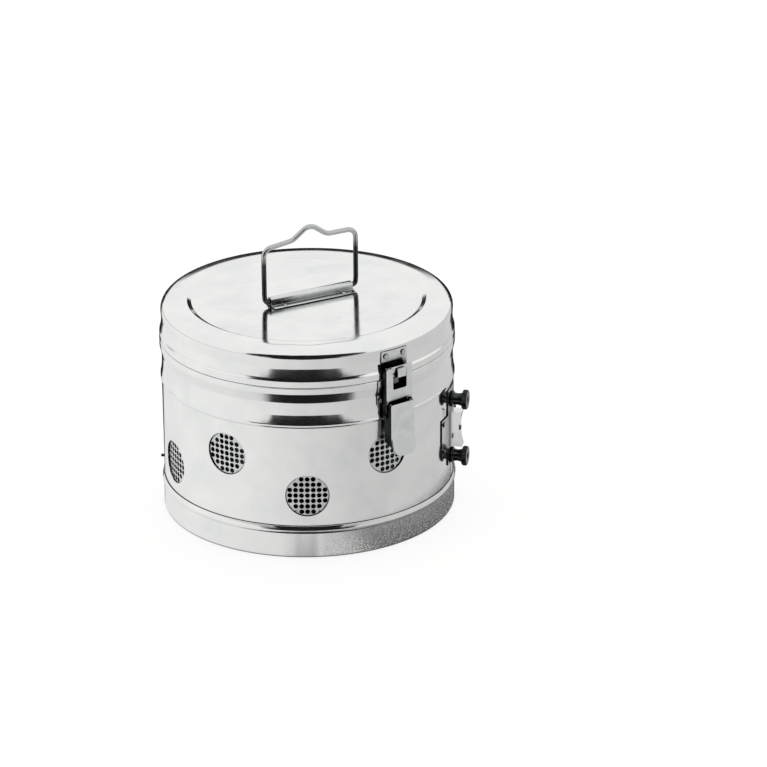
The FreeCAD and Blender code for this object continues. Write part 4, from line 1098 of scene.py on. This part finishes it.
@dataclass
class Clasp(SubAssembly):
    """Base plate over the band's split, with two studs, their thumb nuts and a grip."""

    angle: float = -49.3
    out: float = 146.2
    stud_high: float = 119.0
    stud_low: float = 58.5
    knurls: int = 40
    head_radius: float = 9.3
    head_height: float = 5.2
    run_gap: float = 0.3
    bore: float = 2.6
    foot_radius: float = 8.0
    neck_radius: float = 5.6
    nut_top: float = 16.2
    ridge_radius: float = 0.62
    ridge_middle: float = 13.7

    def build(self) -> None:
        """Build and dress the clasp."""
        for name, node, body, height in (
            ("upper_knurled_nut", "upper_thumb_nut", "upper_nut", self.stud_high),
            ("lower_knurled_nut", "lower_thumb_nut", "lower_nut", self.stud_low),
        ):
            self._nut(name, node, body, height)
        self.dress_solids(CLASP_SHEET, "mirror_sheet", "clasp_plate")
        self.dress_solids(SHADE_DARKENED_STEEL, "turned_steel", "clasp_studs")
        self.dress_solids(TURNED_STEEL, "turned_steel", "clasp_grip")
        self.dress_solids(RIVET_STEEL, "rivet_steel", "clasp_rivets", "grip_rivet")

    def _nut(self, name: str, node: str, body: str, height: float) -> None:
        """Build one thumb nut: a flared foot, a waisted neck and a knurled head."""
        head, top, bore = self.head_radius, self.nut_top, self.bore
        section = rounded([
            (bore, 0.0), (self.foot_radius, 0.0, 0.4), (self.foot_radius, 1.6, 0.5),
            (6.3, 2.2, 0.8), (self.neck_radius, 6.0, 8.0), (6.5, 10.2, 1.0), (head, 11.2, 0.5),
            (head, top, 0.7), (3.6, top, 0.5), (3.0, top - 1.6, 0.3), (bore, top - 1.6),
        ])
        nut = turned(name, section, 48)
        run_tree(nut, knurl_tree(), {
            "Ridges": self.knurls, "Rim Radius": (head - 0.1) * MM,
            "Ridge Radius": self.ridge_radius * MM,
            "Ridge Length": (self.head_height - 1.6) * MM,
            "Ridge Height": self.ridge_middle * MM, "Finish": SHADE_DARKENED_STEEL.material(),
        })
        smooth(nut)
        move(nut, radial(self.angle, height, self.out + self.run_gap))
        self.dress(nut, SHADE_DARKENED_STEEL, body, "turned_steel", [node])


@dataclass
class Lid(SubAssembly):
    """Lid pan with its sunk panel, and the strap that holds the bail."""

    sheet: float = 1.0
    panel_top: float = 213.0
    rim_top: float = 215.7
    wall: float = 144.8
    skew: float = -7.3
    strap_shift: float = 4.4
    strap_length: float = 91.0
    strap_half: float = 12.0
    strap_sheet: float = 1.2
    axis_rise: float = 5.2
    tube_in: float = 2.6

    def build(self) -> None:
        """Build and dress the lid's own pieces."""
        outside = rounded([
            (0.0, self.panel_top), (113.6, self.panel_top, 2.5), (118.2, self.rim_top, 2.5),
            (128.0, self.rim_top, 40.0), (self.wall, self.rim_top - 1.5, 8.6),
            (143.8, 197.0, 10.0), (145.0, 187.0, 4.0), (146.1, 184.6, 1.6), (146.1, 178.4),
        ], 5.0)
        pan = turned("lid_sheet", sheet_loop(outside, self.sheet))
        self.dress(pan, MIRROR_SHEET, "lid", "mirror_sheet", ["lid_pan"])
        self._strap()

    def _strap(self) -> None:
        """Build the strap: one sheet rolled over the wire, with a flange on each side."""
        out = self.tube_in + self.strap_sheet
        sheet = self.strap_sheet
        top = rounded([
            (-self.strap_half, sheet), (-out - 0.4, sheet, 1.0), (-out, self.axis_rise * 0.8, 0.4),
            (-out, self.axis_rise + out, out - 0.02), (out, self.axis_rise + out, out - 0.02),
            (out, self.axis_rise * 0.8, 0.4), (out + 0.4, sheet, 1.0), (self.strap_half, sheet),
        ])
        bottom = [(self.strap_half, 0.0), (-self.strap_half, 0.0)]
        strap = extruded("bail_clip", top + bottom, -self.strap_length / 2, self.strap_length / 2)
        soften(strap, 0.35)
        bake(strap)
        smooth(strap)
        place = about(self.skew) @ Matrix.Translation((self.strap_shift, 0, self.panel_top))
        move(strap, place @ about(REAR))
        self.dress(strap, FOLDED_SHEET, "lid", "mirror_sheet", ["bail_strap"])
        places = [
            place @ Matrix.Translation((
                along * self.strap_length, across * self.strap_half, sheet,
            )) for along in (-0.36, 0.36) for across in (-0.72, 0.72)
        ]
        self.rivets("strap_rivet_heads", "lid", places, ["strap_rivets"])


@dataclass
class Bail(SubAssembly):
    """One bent wire with a finger hump in the middle of its grip."""

    wire: float = 5.0
    skew: float = -7.3
    shift: float = 4.4
    centre: float = 218.2
    strap_end: float = 45.5
    end_inside: float = 22.0
    kink_out: float = 4.9
    kink_rise: float = 8.0
    leg: float = 51.0
    grip: float = 58.5
    hump: float = 10.8
    hump_half: float = 19.0
    left_sag: float = 4.0

    def build(self) -> None:
        """Build and dress the bail."""
        half = [
            (self.strap_end - self.end_inside, 0.0), (self.strap_end + self.kink_out, 0.0, 3.5),
            (self.leg, self.kink_rise, 4.0), (self.leg, self.grip, 9.0),
            (self.hump_half, self.grip, 14.0), (0.0, self.grip + self.hump * 1.25, 12.0),
        ]
        line = [(-x, *rest) for x, *rest in half[:-1]] + [half[-1]]
        line += [tuple(p) for p in half[-2::-1]]
        line[3] = (-self.leg, self.grip - self.left_sag, 9.0)
        path = [Vector((x, 0.0, z)) for x, z in rounded(line, 7.0)]
        piece = swept("bail_wire", path, self.wire / 2)
        move(piece, about(self.skew) @ Matrix.Translation((self.shift, 0, self.centre)))
        self.dress(piece, DRAWN_WIRE, "bail", "bright_wire", ["wire_bail"])


@dataclass
class DrawLatch(SubAssembly):
    """Bracket, lever and link of the draw latch, with the strike plate on the lid."""

    half: float = 14.0
    sheet: float = 1.2
    bend: float = 1.8
    lever_face: float = 159.0
    lever_back: float = 147.6
    lever_top: float = 155.0
    top_round: float = 3.0
    top_curl: float = 0.25
    lever_fold: float = 120.0
    lever_tip: float = 102.5
    tip_out: float = 4.5
    tip_round: float = 9.0
    side_end: float = 114.0
    side_slope: float = 4.0
    least_side: float = 1.6
    link_half: float = 15.5
    link_face: float = 153.7
    link_back: float = 147.5
    link_top: float = 192.0
    link_foot: float = 156.6
    pin_reach: float = 149.8
    neck: tuple[float, float, float] = (154.5, 156.5, 163.5)
    eye_height: float = 142.5
    eye: float = 3.2
    slot_half: float = 8.0
    slot_low: float = 168.5
    slot_high: float = 184.5
    slot_round: float = 2.0

    def build(self) -> None:
        """Build the lever and the link, and dress the rest of the latch."""
        self._lever()
        self._link()
        self.dress_solids(LATCH_SHEET, "latch_sheet", "strike_plate", "latch_bracket")
        self.dress_solids(SHADE_DARKENED_STEEL, "turned_steel", "lever_pivots", "link_pin")
        self.dress_solids(RIVET_STEEL, "rivet_steel", "strike_rivets", "bracket_rivets")

    def _lever_row(self, height: float) -> tuple[float, float, float]:
        """Return the lever's face, the back of its sides and its half width at a height."""
        below = max(0.0, self.lever_fold - height)
        face = self.lever_face + self.tip_out * below / (self.lever_fold - self.lever_tip)
        down = self.lever_top - height
        if down < self.top_round:
            face -= self.top_curl * (1 - math.sqrt(1 - (1 - down / self.top_round) ** 2))
        back = self.lever_back + max(0.0, self.top_round - down)
        if height < self.side_end:
            rise = self.side_slope * (self.side_end - height)
            back = min(face - self.least_side, self.lever_back + rise)
        into = max(0.0, self.lever_tip + self.tip_round - height)
        wide = self.half - self.tip_round + math.sqrt(max(0.0, self.tip_round ** 2 - into ** 2))
        return face, back, wide

    def _lever(self) -> None:
        """Build the lever: a channel whose tip is rounded and bends out."""
        heights = [self.lever_top - d for d in (0.0, 0.2, 0.6, 1.1, 1.8, 3.0)]
        heights += list(np.linspace(self.lever_top - 6.0, self.lever_fold + 1.5, 6))
        heights += list(np.linspace(self.lever_fold, self.side_end, 5))
        heights += [self.lever_tip + self.tip_round * math.cos(math.radians(a))
                    for a in range(6, 91, 6)]
        corners: list[tuple[float, float, float]] = []
        for height in heights:
            face, back, wide = self._lever_row(height)
            flat = wide - self.bend - 0.5
            section = rounded([
                (-wide, -back), (-wide, -face, self.bend), (-flat, -face), (flat, -face),
                (wide, -face, self.bend), (wide, -back),
            ], 15.0)
            corners += [(x, y, height) for x, y in sheet_loop(section[::-1], self.sheet)]
        count = len(corners) // len(heights)
        last = len(corners) - count
        ends = [list(range(count)), list(range(last, len(corners)))[::-1]]
        lever = new_piece("clamp_lever", np.array(corners), ends + quads(len(heights), count))
        tidy_mesh(lever)
        smooth(lever, 40.0)
        self.dress(lever, LATCH_SHEET, "lever", "latch_sheet", ["latch_lever"])
        self.shade_sides(lever)

    def _in_slot(self, along: float, up: float) -> bool:
        """Whether a point of the link's flat sheet lies in its slot."""
        middle = (self.slot_low + self.slot_high) / 2
        x = abs(along) - (self.slot_half - self.slot_round)
        y = abs(up - middle) - ((self.slot_high - self.slot_low) / 2 - self.slot_round)
        return math.hypot(max(x, 0.0), max(y, 0.0)) < self.slot_round - 1e-4

    def _link(self) -> None:
        """Build the link: a flat sheet with a slot, folded back at both sides to its eyes."""
        flat_half = self.link_half - self.bend
        arc = self.bend * math.pi / 2
        eye_middle = self.link_face - self.pin_reach
        back_low, front_low, front_high = self.neck
        depth = self.link_face - self.link_back
        side = [
            (0.6, back_low), (eye_middle - self.eye, self.eye_height),
            *[(eye_middle - self.eye * math.cos(math.radians(a)),
               self.eye_height - self.eye * math.sin(math.radians(a))) for a in range(15, 166, 15)],
            (eye_middle + self.eye, self.eye_height), (eye_middle + self.eye, front_low),
            (depth, front_high), (depth, self.link_top - depth), (1.6, self.link_top),
        ]
        fold = flat_half + arc - self.bend
        right = [(flat_half, self.link_foot)] + [(fold + d, z) for d, z in side]
        right.append((flat_half, self.link_top))
        outline = right + [(-u, z) for u, z in right[::-1]]
        slot = rounded([
            (0.0, self.slot_low), (self.slot_half, self.slot_low, self.slot_round),
            (self.slot_half, self.slot_high, self.slot_round),
            (-self.slot_half, self.slot_high, self.slot_round),
            (-self.slot_half, self.slot_low, self.slot_round), (0.0, self.slot_low),
        ], 15.0)[:-1]
        points = outline + slot
        edges = ring_edges(0, len(outline)) + ring_edges(len(outline), len(slot))
        for j in range(14):
            for k in range(6):
                u = flat_half + arc * k / 5
                z = self.link_foot + 1.5 + j * (self.link_top - self.link_foot - 3.0) / 13
                points += [(u, z), (-u, z)]
        flat, faces = cut_sheet(points, edges, lambda x, z: not self._in_slot(x, z), inside=True)
        turn = np.clip((np.abs(flat[:, 0]) - flat_half) / self.bend, 0.0, math.pi / 2)
        past = np.maximum(np.abs(flat[:, 0]) - flat_half - arc, 0.0)
        across = np.minimum(np.abs(flat[:, 0]), flat_half) + self.bend * np.sin(turn)
        corners = np.stack([
            np.sign(flat[:, 0]) * across,
            -(self.link_face - self.bend * (1 - np.cos(turn)) - past), flat[:, 1],
        ], axis=1)
        link = new_piece("clamp_link", corners, faces)
        tidy_mesh(link, outward=False)
        thicken(link, self.sheet, 0.2)
        smooth(link, 40.0)
        self.dress(link, LATCH_SHEET, "link", "latch_sheet", ["latch_link"])
        self.shade_sides(link)


@dataclass
class LidHinge(SubAssembly):
    """Two leaves and a pin at the rear."""

    def build(self) -> None:
        """Dress the hinge."""
        self.dress_solids(MIRROR_SHEET, "mirror_sheet", "hinge_body_leaf", "hinge_lid_leaf")
        self.dress_solids(TURNED_STEEL, "turned_steel", "hinge_pin")
        self.dress_solids(RIVET_STEEL, "rivet_steel", "hinge_lid_rivets", "hinge_body_rivets")


@dataclass
class Divider(SubAssembly):
    """T-shaped divider and the channels that hold it."""

    def build(self) -> None:
        """Dress the divider."""
        self.dress_solids(SATIN_SHEET, "satin_sheet", "divider_long", "divider_short",
                          "divider_channels", "divider_centre_clip")


# Studio.


@dataclass
class Studio:
    """Camera, white surroundings, floor and the dark flags that the metal reflects.

    Camera sizes and the bowl's radius are metres; the pieces' own reaches are millimetres.
    """

    azimuth: float = -36.3
    elevation: float = 22.724
    roll: float = 0.359
    distance: float = 3.501
    aim_height: float = 0.110
    shift_right: float = 0.075265
    shift_up: float = 0.010748
    lens: float = 164.725
    bowl_radius: float = 5.0
    flag_reach: float = 3000.0
    horizon_reach: float = 3400.0
    floor_half: float = 9000.0
    floor_drop: float = 0.3

    def build(self) -> None:
        """Set the view transform, and make the surroundings and the camera."""
        scene = bpy.context.scene
        scene.view_settings.view_transform = "Standard"
        self._world()
        self._floor()
        self._bowl()
        self._flags()
        self._camera()

    def _axes(self) -> tuple[Vector, Vector, Vector]:
        """Return the camera's directions right, up and back."""
        a, e = math.radians(self.azimuth), math.radians(self.elevation)
        back = Vector((math.sin(a) * math.cos(e), -math.cos(a) * math.cos(e), math.sin(e)))
        right = Vector((math.cos(a), math.sin(a), 0.0))
        up = Vector((-math.sin(a) * math.sin(e), math.cos(a) * math.sin(e), math.cos(e)))
        return right, up, back

    def _camera(self) -> None:
        right, up, back = self._axes()
        r = math.radians(self.roll)
        place = Vector((0, 0, self.aim_height)) + back * self.distance
        place += right * self.shift_right + up * self.shift_up
        across = right * math.cos(r) - up * math.sin(r)
        upright = up * math.cos(r) + right * math.sin(r)
        data = bpy.data.cameras.new("camera")
        data.lens = self.lens
        data.sensor_width = 36.0
        data.clip_start, data.clip_end = 0.1, 100.0
        camera = bpy.data.objects.new("camera", data)
        turn = Matrix((across, upright, back)).transposed().to_4x4()
        camera.matrix_world = Matrix.Translation(place) @ turn
        bpy.context.scene.collection.objects.link(camera)
        bpy.context.scene.camera = camera

    def _world(self) -> None:
        world = bpy.data.worlds.new("white_room")
        bpy.context.scene.world = world
        world.use_nodes = True
        tree = world.node_tree
        tree.nodes.clear()
        seen = add_node(tree, "ShaderNodeLightPath").outputs
        direct = add_node(tree, "ShaderNodeMath", {
            0: seen["Is Camera Ray"], 1: seen["Is Glossy Ray"],
        }, operation="MAXIMUM")
        shown = add_node(tree, "ShaderNodeMath", {
            0: direct.outputs["Value"], 1: seen["Is Transmission Ray"],
        }, operation="MAXIMUM")
        light = add_node(tree, "ShaderNodeBackground", {
            "Color": linear("#F4F4F2"), "Strength": 0.9,
        })
        white = add_node(tree, "ShaderNodeBackground", {
            "Color": (1.0, 1.0, 1.0, 1.0), "Strength": 1.0,
        })
        mixed = add_node(tree, "ShaderNodeMixShader", {
            0: shown.outputs["Value"], 1: light.outputs["Background"],
            2: white.outputs["Background"],
        })
        add_node(tree, "ShaderNodeOutputWorld", {"Surface": mixed.outputs["Shader"]})

    def _floor(self) -> None:
        material, tree = new_material("pale_floor")
        seen = add_node(tree, "ShaderNodeLightPath").outputs
        matt = add_node(tree, "ShaderNodeBsdfDiffuse", {"Color": linear("#A8A8A8")})
        glow = add_node(tree, "ShaderNodeEmission", {
            "Color": (1.0, 1.0, 1.0, 1.0), "Strength": 0.72,
        })
        lit = add_node(tree, "ShaderNodeAddShader", {
            0: matt.outputs["BSDF"], 1: glow.outputs["Emission"],
        })
        pale = add_node(tree, "ShaderNodeBsdfDiffuse", {"Color": linear("#F0F0EE")})
        mixed = add_node(tree, "ShaderNodeMixShader", {
            0: seen["Is Camera Ray"], 1: pale.outputs["BSDF"], 2: lit.outputs["Shader"],
        })
        add_node(tree, "ShaderNodeOutputMaterial", {"Surface": mixed.outputs["Shader"]})
        half, low = self.floor_half, -self.floor_drop
        corners = [(-half, -half, low), (half, -half, low), (half, half, low), (-half, half, low)]
        floor = new_piece("floor", np.array(corners), [[0, 1, 2, 3]])
        floor.data.materials.append(material)
        floor.visible_glossy = False

    def _reflected_only(self, piece: Piece) -> None:
        """Let only the metal see a piece of the studio."""
        for way in ("camera", "diffuse", "shadow", "transmission", "volume_scatter"):
            setattr(piece, "visible_" + way, False)

    def _bowl(self) -> None:
        """The pale tabletop as the metal sees it: a glowing bowl with painted shade, darker towards
        the drum's foot and nearly black below it, and painted light that brightens its left side.
        """
        steps, rows = 48, 16
        corners = []
        for i in range(rows + 1):
            low = -math.pi / 2 * (1 - i / rows)
            for j in range(steps):
                angle = FULL_TURN * j / steps
                corners.append((math.cos(low) * math.cos(angle), math.cos(low) * math.sin(angle),
                                math.sin(low)))
        bowl = new_piece("tabletop_reflection", np.array(corners) * self.bowl_radius / MM,
                         quads(rows + 1, steps))
        material, tree = new_material("tabletop_tone")
        right, _, back = self._axes()
        place = add_node(tree, "ShaderNodeTexCoord").outputs["Object"]
        drop = add_node(tree, "ShaderNodeSeparateXYZ", {"Vector": place}).outputs["Z"]
        # Painted shade: the glow dims towards the bottom of the bowl, under the drum's foot.
        tone = add_node(tree, "ShaderNodeMapRange", {
            "Value": drop, "From Min": -0.85 * self.bowl_radius,
            "From Max": -0.30 * self.bowl_radius, "To Min": 0.68, "To Max": 0.80,
        }).outputs["Result"]
        # Painted light: the glow is brighter to the camera's left and dimmer to its right.
        side = add_node(tree, "ShaderNodeVectorMath", {
            0: place, 1: tuple(right),
        }, operation="DOT_PRODUCT").outputs["Value"]
        side_light = add_node(tree, "ShaderNodeMapRange", {
            "Value": side, "From Min": -self.bowl_radius, "From Max": self.bowl_radius * 0.6,
            "To Min": 1.25, "To Max": 0.86,
        }).outputs["Result"]
        # Painted shade: the glow drops nearly to black straight below the drum.
        foot_shade = add_node(tree, "ShaderNodeMapRange", {
            "Value": drop, "From Min": -0.95 * self.bowl_radius,
            "From Max": -0.88 * self.bowl_radius, "To Min": 0.06, "To Max": 1.0,
        }).outputs["Result"]
        shaded = add_node(tree, "ShaderNodeMath", {0: tone, 1: foot_shade}, operation="MULTIPLY")
        level = add_node(tree, "ShaderNodeMath", {
            0: shaded.outputs["Value"], 1: side_light,
        }, operation="MULTIPLY")
        glow = add_node(tree, "ShaderNodeEmission", {
            "Color": (1.0, 1.0, 1.0, 1.0), "Strength": level.outputs["Value"],
        })
        add_node(tree, "ShaderNodeOutputMaterial", {"Surface": glow.outputs["Emission"]})
        bowl.data.materials.append(material)
        self._reflected_only(bowl)

    def _flag(self, name: str, elevation: float, half_high: float, half_wide: float,
              core: float, shade: float, azimuth: float = 0.0, fray: float = 0.1) -> None:
        """Hang one dark oval with a frayed edge where the metal reflects it.

        Args:
            name: the flag's name.
            elevation: angle of its middle above the horizon.
            half_high: half its height, as an angle.
            half_wide: half its width, as an angle.
            core: share of its radius that is fully dark.
            shade: brightness of its middle.
            azimuth: angle to the right of the camera's own direction.
            fray: how far the edge is frayed, as a share of its radius.
        """
        reach, steps = self.flag_reach, 48
        a = math.radians(self.azimuth + azimuth)
        e = math.radians(elevation)
        way = Vector((math.sin(a) * math.cos(e), -math.cos(a) * math.cos(e), math.sin(e)))
        across = Vector((math.cos(a), math.sin(a), 0.0))
        rise = way.cross(across) * -1.0
        wide = reach * math.tan(math.radians(half_wide))
        high = reach * math.tan(math.radians(half_high))
        middle = way * reach + Vector((0.0, 0.0, self.aim_height / MM))
        corners = [middle] + [
            middle + across * wide * math.cos(FULL_TURN * i / steps)
            + rise * high * math.sin(FULL_TURN * i / steps) for i in range(steps)
        ]
        faces = [[0, i + 1, (i + 1) % steps + 1] for i in range(steps)]
        flag = new_piece(name, np.array([tuple(c) for c in corners]), faces)
        self._dark_cloth(flag, [0.0] + [1.0] * steps, core, shade, fray)

    def _dark_cloth(self, flag: Piece, edges: Sequence[float], core: float,
                    shade: float, fray: float, scale: float = 2.6) -> None:
        """Give a dark piece of the studio its cloth, which ends where its edge value is one.

        Args:
            flag: the piece.
            edges: how near each vertex is to the cloth's edge, from zero to one.
            core: edge value up to which the cloth is fully dark.
            shade: brightness of the cloth.
            fray: how far the edge is frayed.
            scale: how fine the fraying is.
        """
        mark = flag.data.attributes.new("edge", "FLOAT", "POINT")
        mark.data.foreach_set("value", edges)
        material, tree = new_material(flag.name)
        edge = add_node(tree, "ShaderNodeAttribute", attribute_name="edge").outputs["Fac"]
        place = add_node(tree, "ShaderNodeTexCoord").outputs["Object"]
        rough = add_node(tree, "ShaderNodeTexNoise", {
            "Vector": place, "Scale": scale, "Detail": 7.0, "Roughness": 0.7,
        }).outputs["Fac"]
        shift = add_node(tree, "ShaderNodeMapRange", {
            "Value": rough, "From Min": 0.3, "From Max": 0.7, "To Min": -fray, "To Max": fray,
        }, clamp=False).outputs["Result"]
        frayed = add_node(tree, "ShaderNodeMath", {0: edge, 1: shift}, operation="ADD")
        clear = add_node(tree, "ShaderNodeMapRange", {
            "Value": frayed.outputs["Value"], "From Min": core, "From Max": 1.0,
        }, interpolation_type="SMOOTHSTEP").outputs["Result"]
        dark = add_node(tree, "ShaderNodeEmission", {
            "Color": (1.0, 1.0, 1.0, 1.0), "Strength": shade,
        })
        none = add_node(tree, "ShaderNodeBsdfTransparent")
        mixed = add_node(tree, "ShaderNodeMixShader", {
            0: clear, 1: dark.outputs["Emission"], 2: none.outputs["BSDF"],
        })
        add_node(tree, "ShaderNodeOutputMaterial", {"Surface": mixed.outputs["Shader"]})
        flag.data.materials.append(material)
        self._reflected_only(flag)

    def _horizon(self, name: str, low: float, high: float, shade: float) -> None:
        """Put a dark strip round the horizon, between two elevations in degrees."""
        reach, steps = self.horizon_reach, 96
        middle = self.aim_height / MM
        spread = (high - low) * 0.35
        levels = ((low - spread, 1.0), (low, 0.0), (high, 0.0), (high + spread, 1.0))
        corners = [
            (reach * math.cos(FULL_TURN * i / steps), reach * math.sin(FULL_TURN * i / steps),
             middle + reach * math.tan(math.radians(level)))
            for level, _ in levels for i in range(steps)
        ]
        strip = new_piece(name, np.array(corners), quads(len(levels), steps))
        edges = [edge for _, edge in levels for _ in range(steps)]
        self._dark_cloth(strip, edges, 0.1, shade, 0.15)

    def _table_shadow(self) -> None:
        """Lay the speckled shade of the tabletop that the foot reflects at its right side."""
        steps, first, sweep, fade = 36, 8.0, 112.0, 3.2
        rings = ((146.0, 0.3), (190.0, 0.45), (215.0, 1.0))
        turn = math.radians(self.azimuth + FRONT)
        corners = []
        edges = []
        for reach, edge in rings:
            for i in range(steps + 1):
                share = i / steps
                angle = turn + math.radians(first + sweep * share)
                corners.append((reach * math.cos(angle), reach * math.sin(angle), -0.2))
                edges.append(max(edge, 1.0 - min(share, 1.0 - share) * fade))
        shade = new_piece("table_shadow", np.array(corners), quads(len(rings), steps + 1, False))
        self._dark_cloth(shade, edges, 0.1, 0.08, 0.8, 520.0)

    def _flags(self) -> None:
        """Hang the dark room behind the camera and the shades below and beyond the drum."""
        self._flag("camera_side_flag", 14.0, 29.0, 46.0, 0.86, 0.012)
        self._flag("foot_side_flag", -54.0, 26.0, 31.5, 0.74, 0.012, azimuth=1.5)
        self._flag("far_side_flag", -5.5, 24.5, 32.0, 0.9, 0.015, azimuth=180.0, fray=0.06)
        self._horizon("skirting", -1.0, 2.0, 0.6)
        self._table_shadow()


def main() -> None:
    """Build the studio and the sub-assemblies in order."""
    logging.basicConfig(level=logging.INFO, format="%(name)s %(message)s")
    Studio().build()
    drum = DrumBody()
    for part in (drum, VentBand(drum), Clasp(), Lid(), Bail(), DrawLatch(), LidHinge(), Divider()):
        part.build()
        LOG.info("%s is complete", type(part).__name__)


if __name__ == "__main__":
    main()
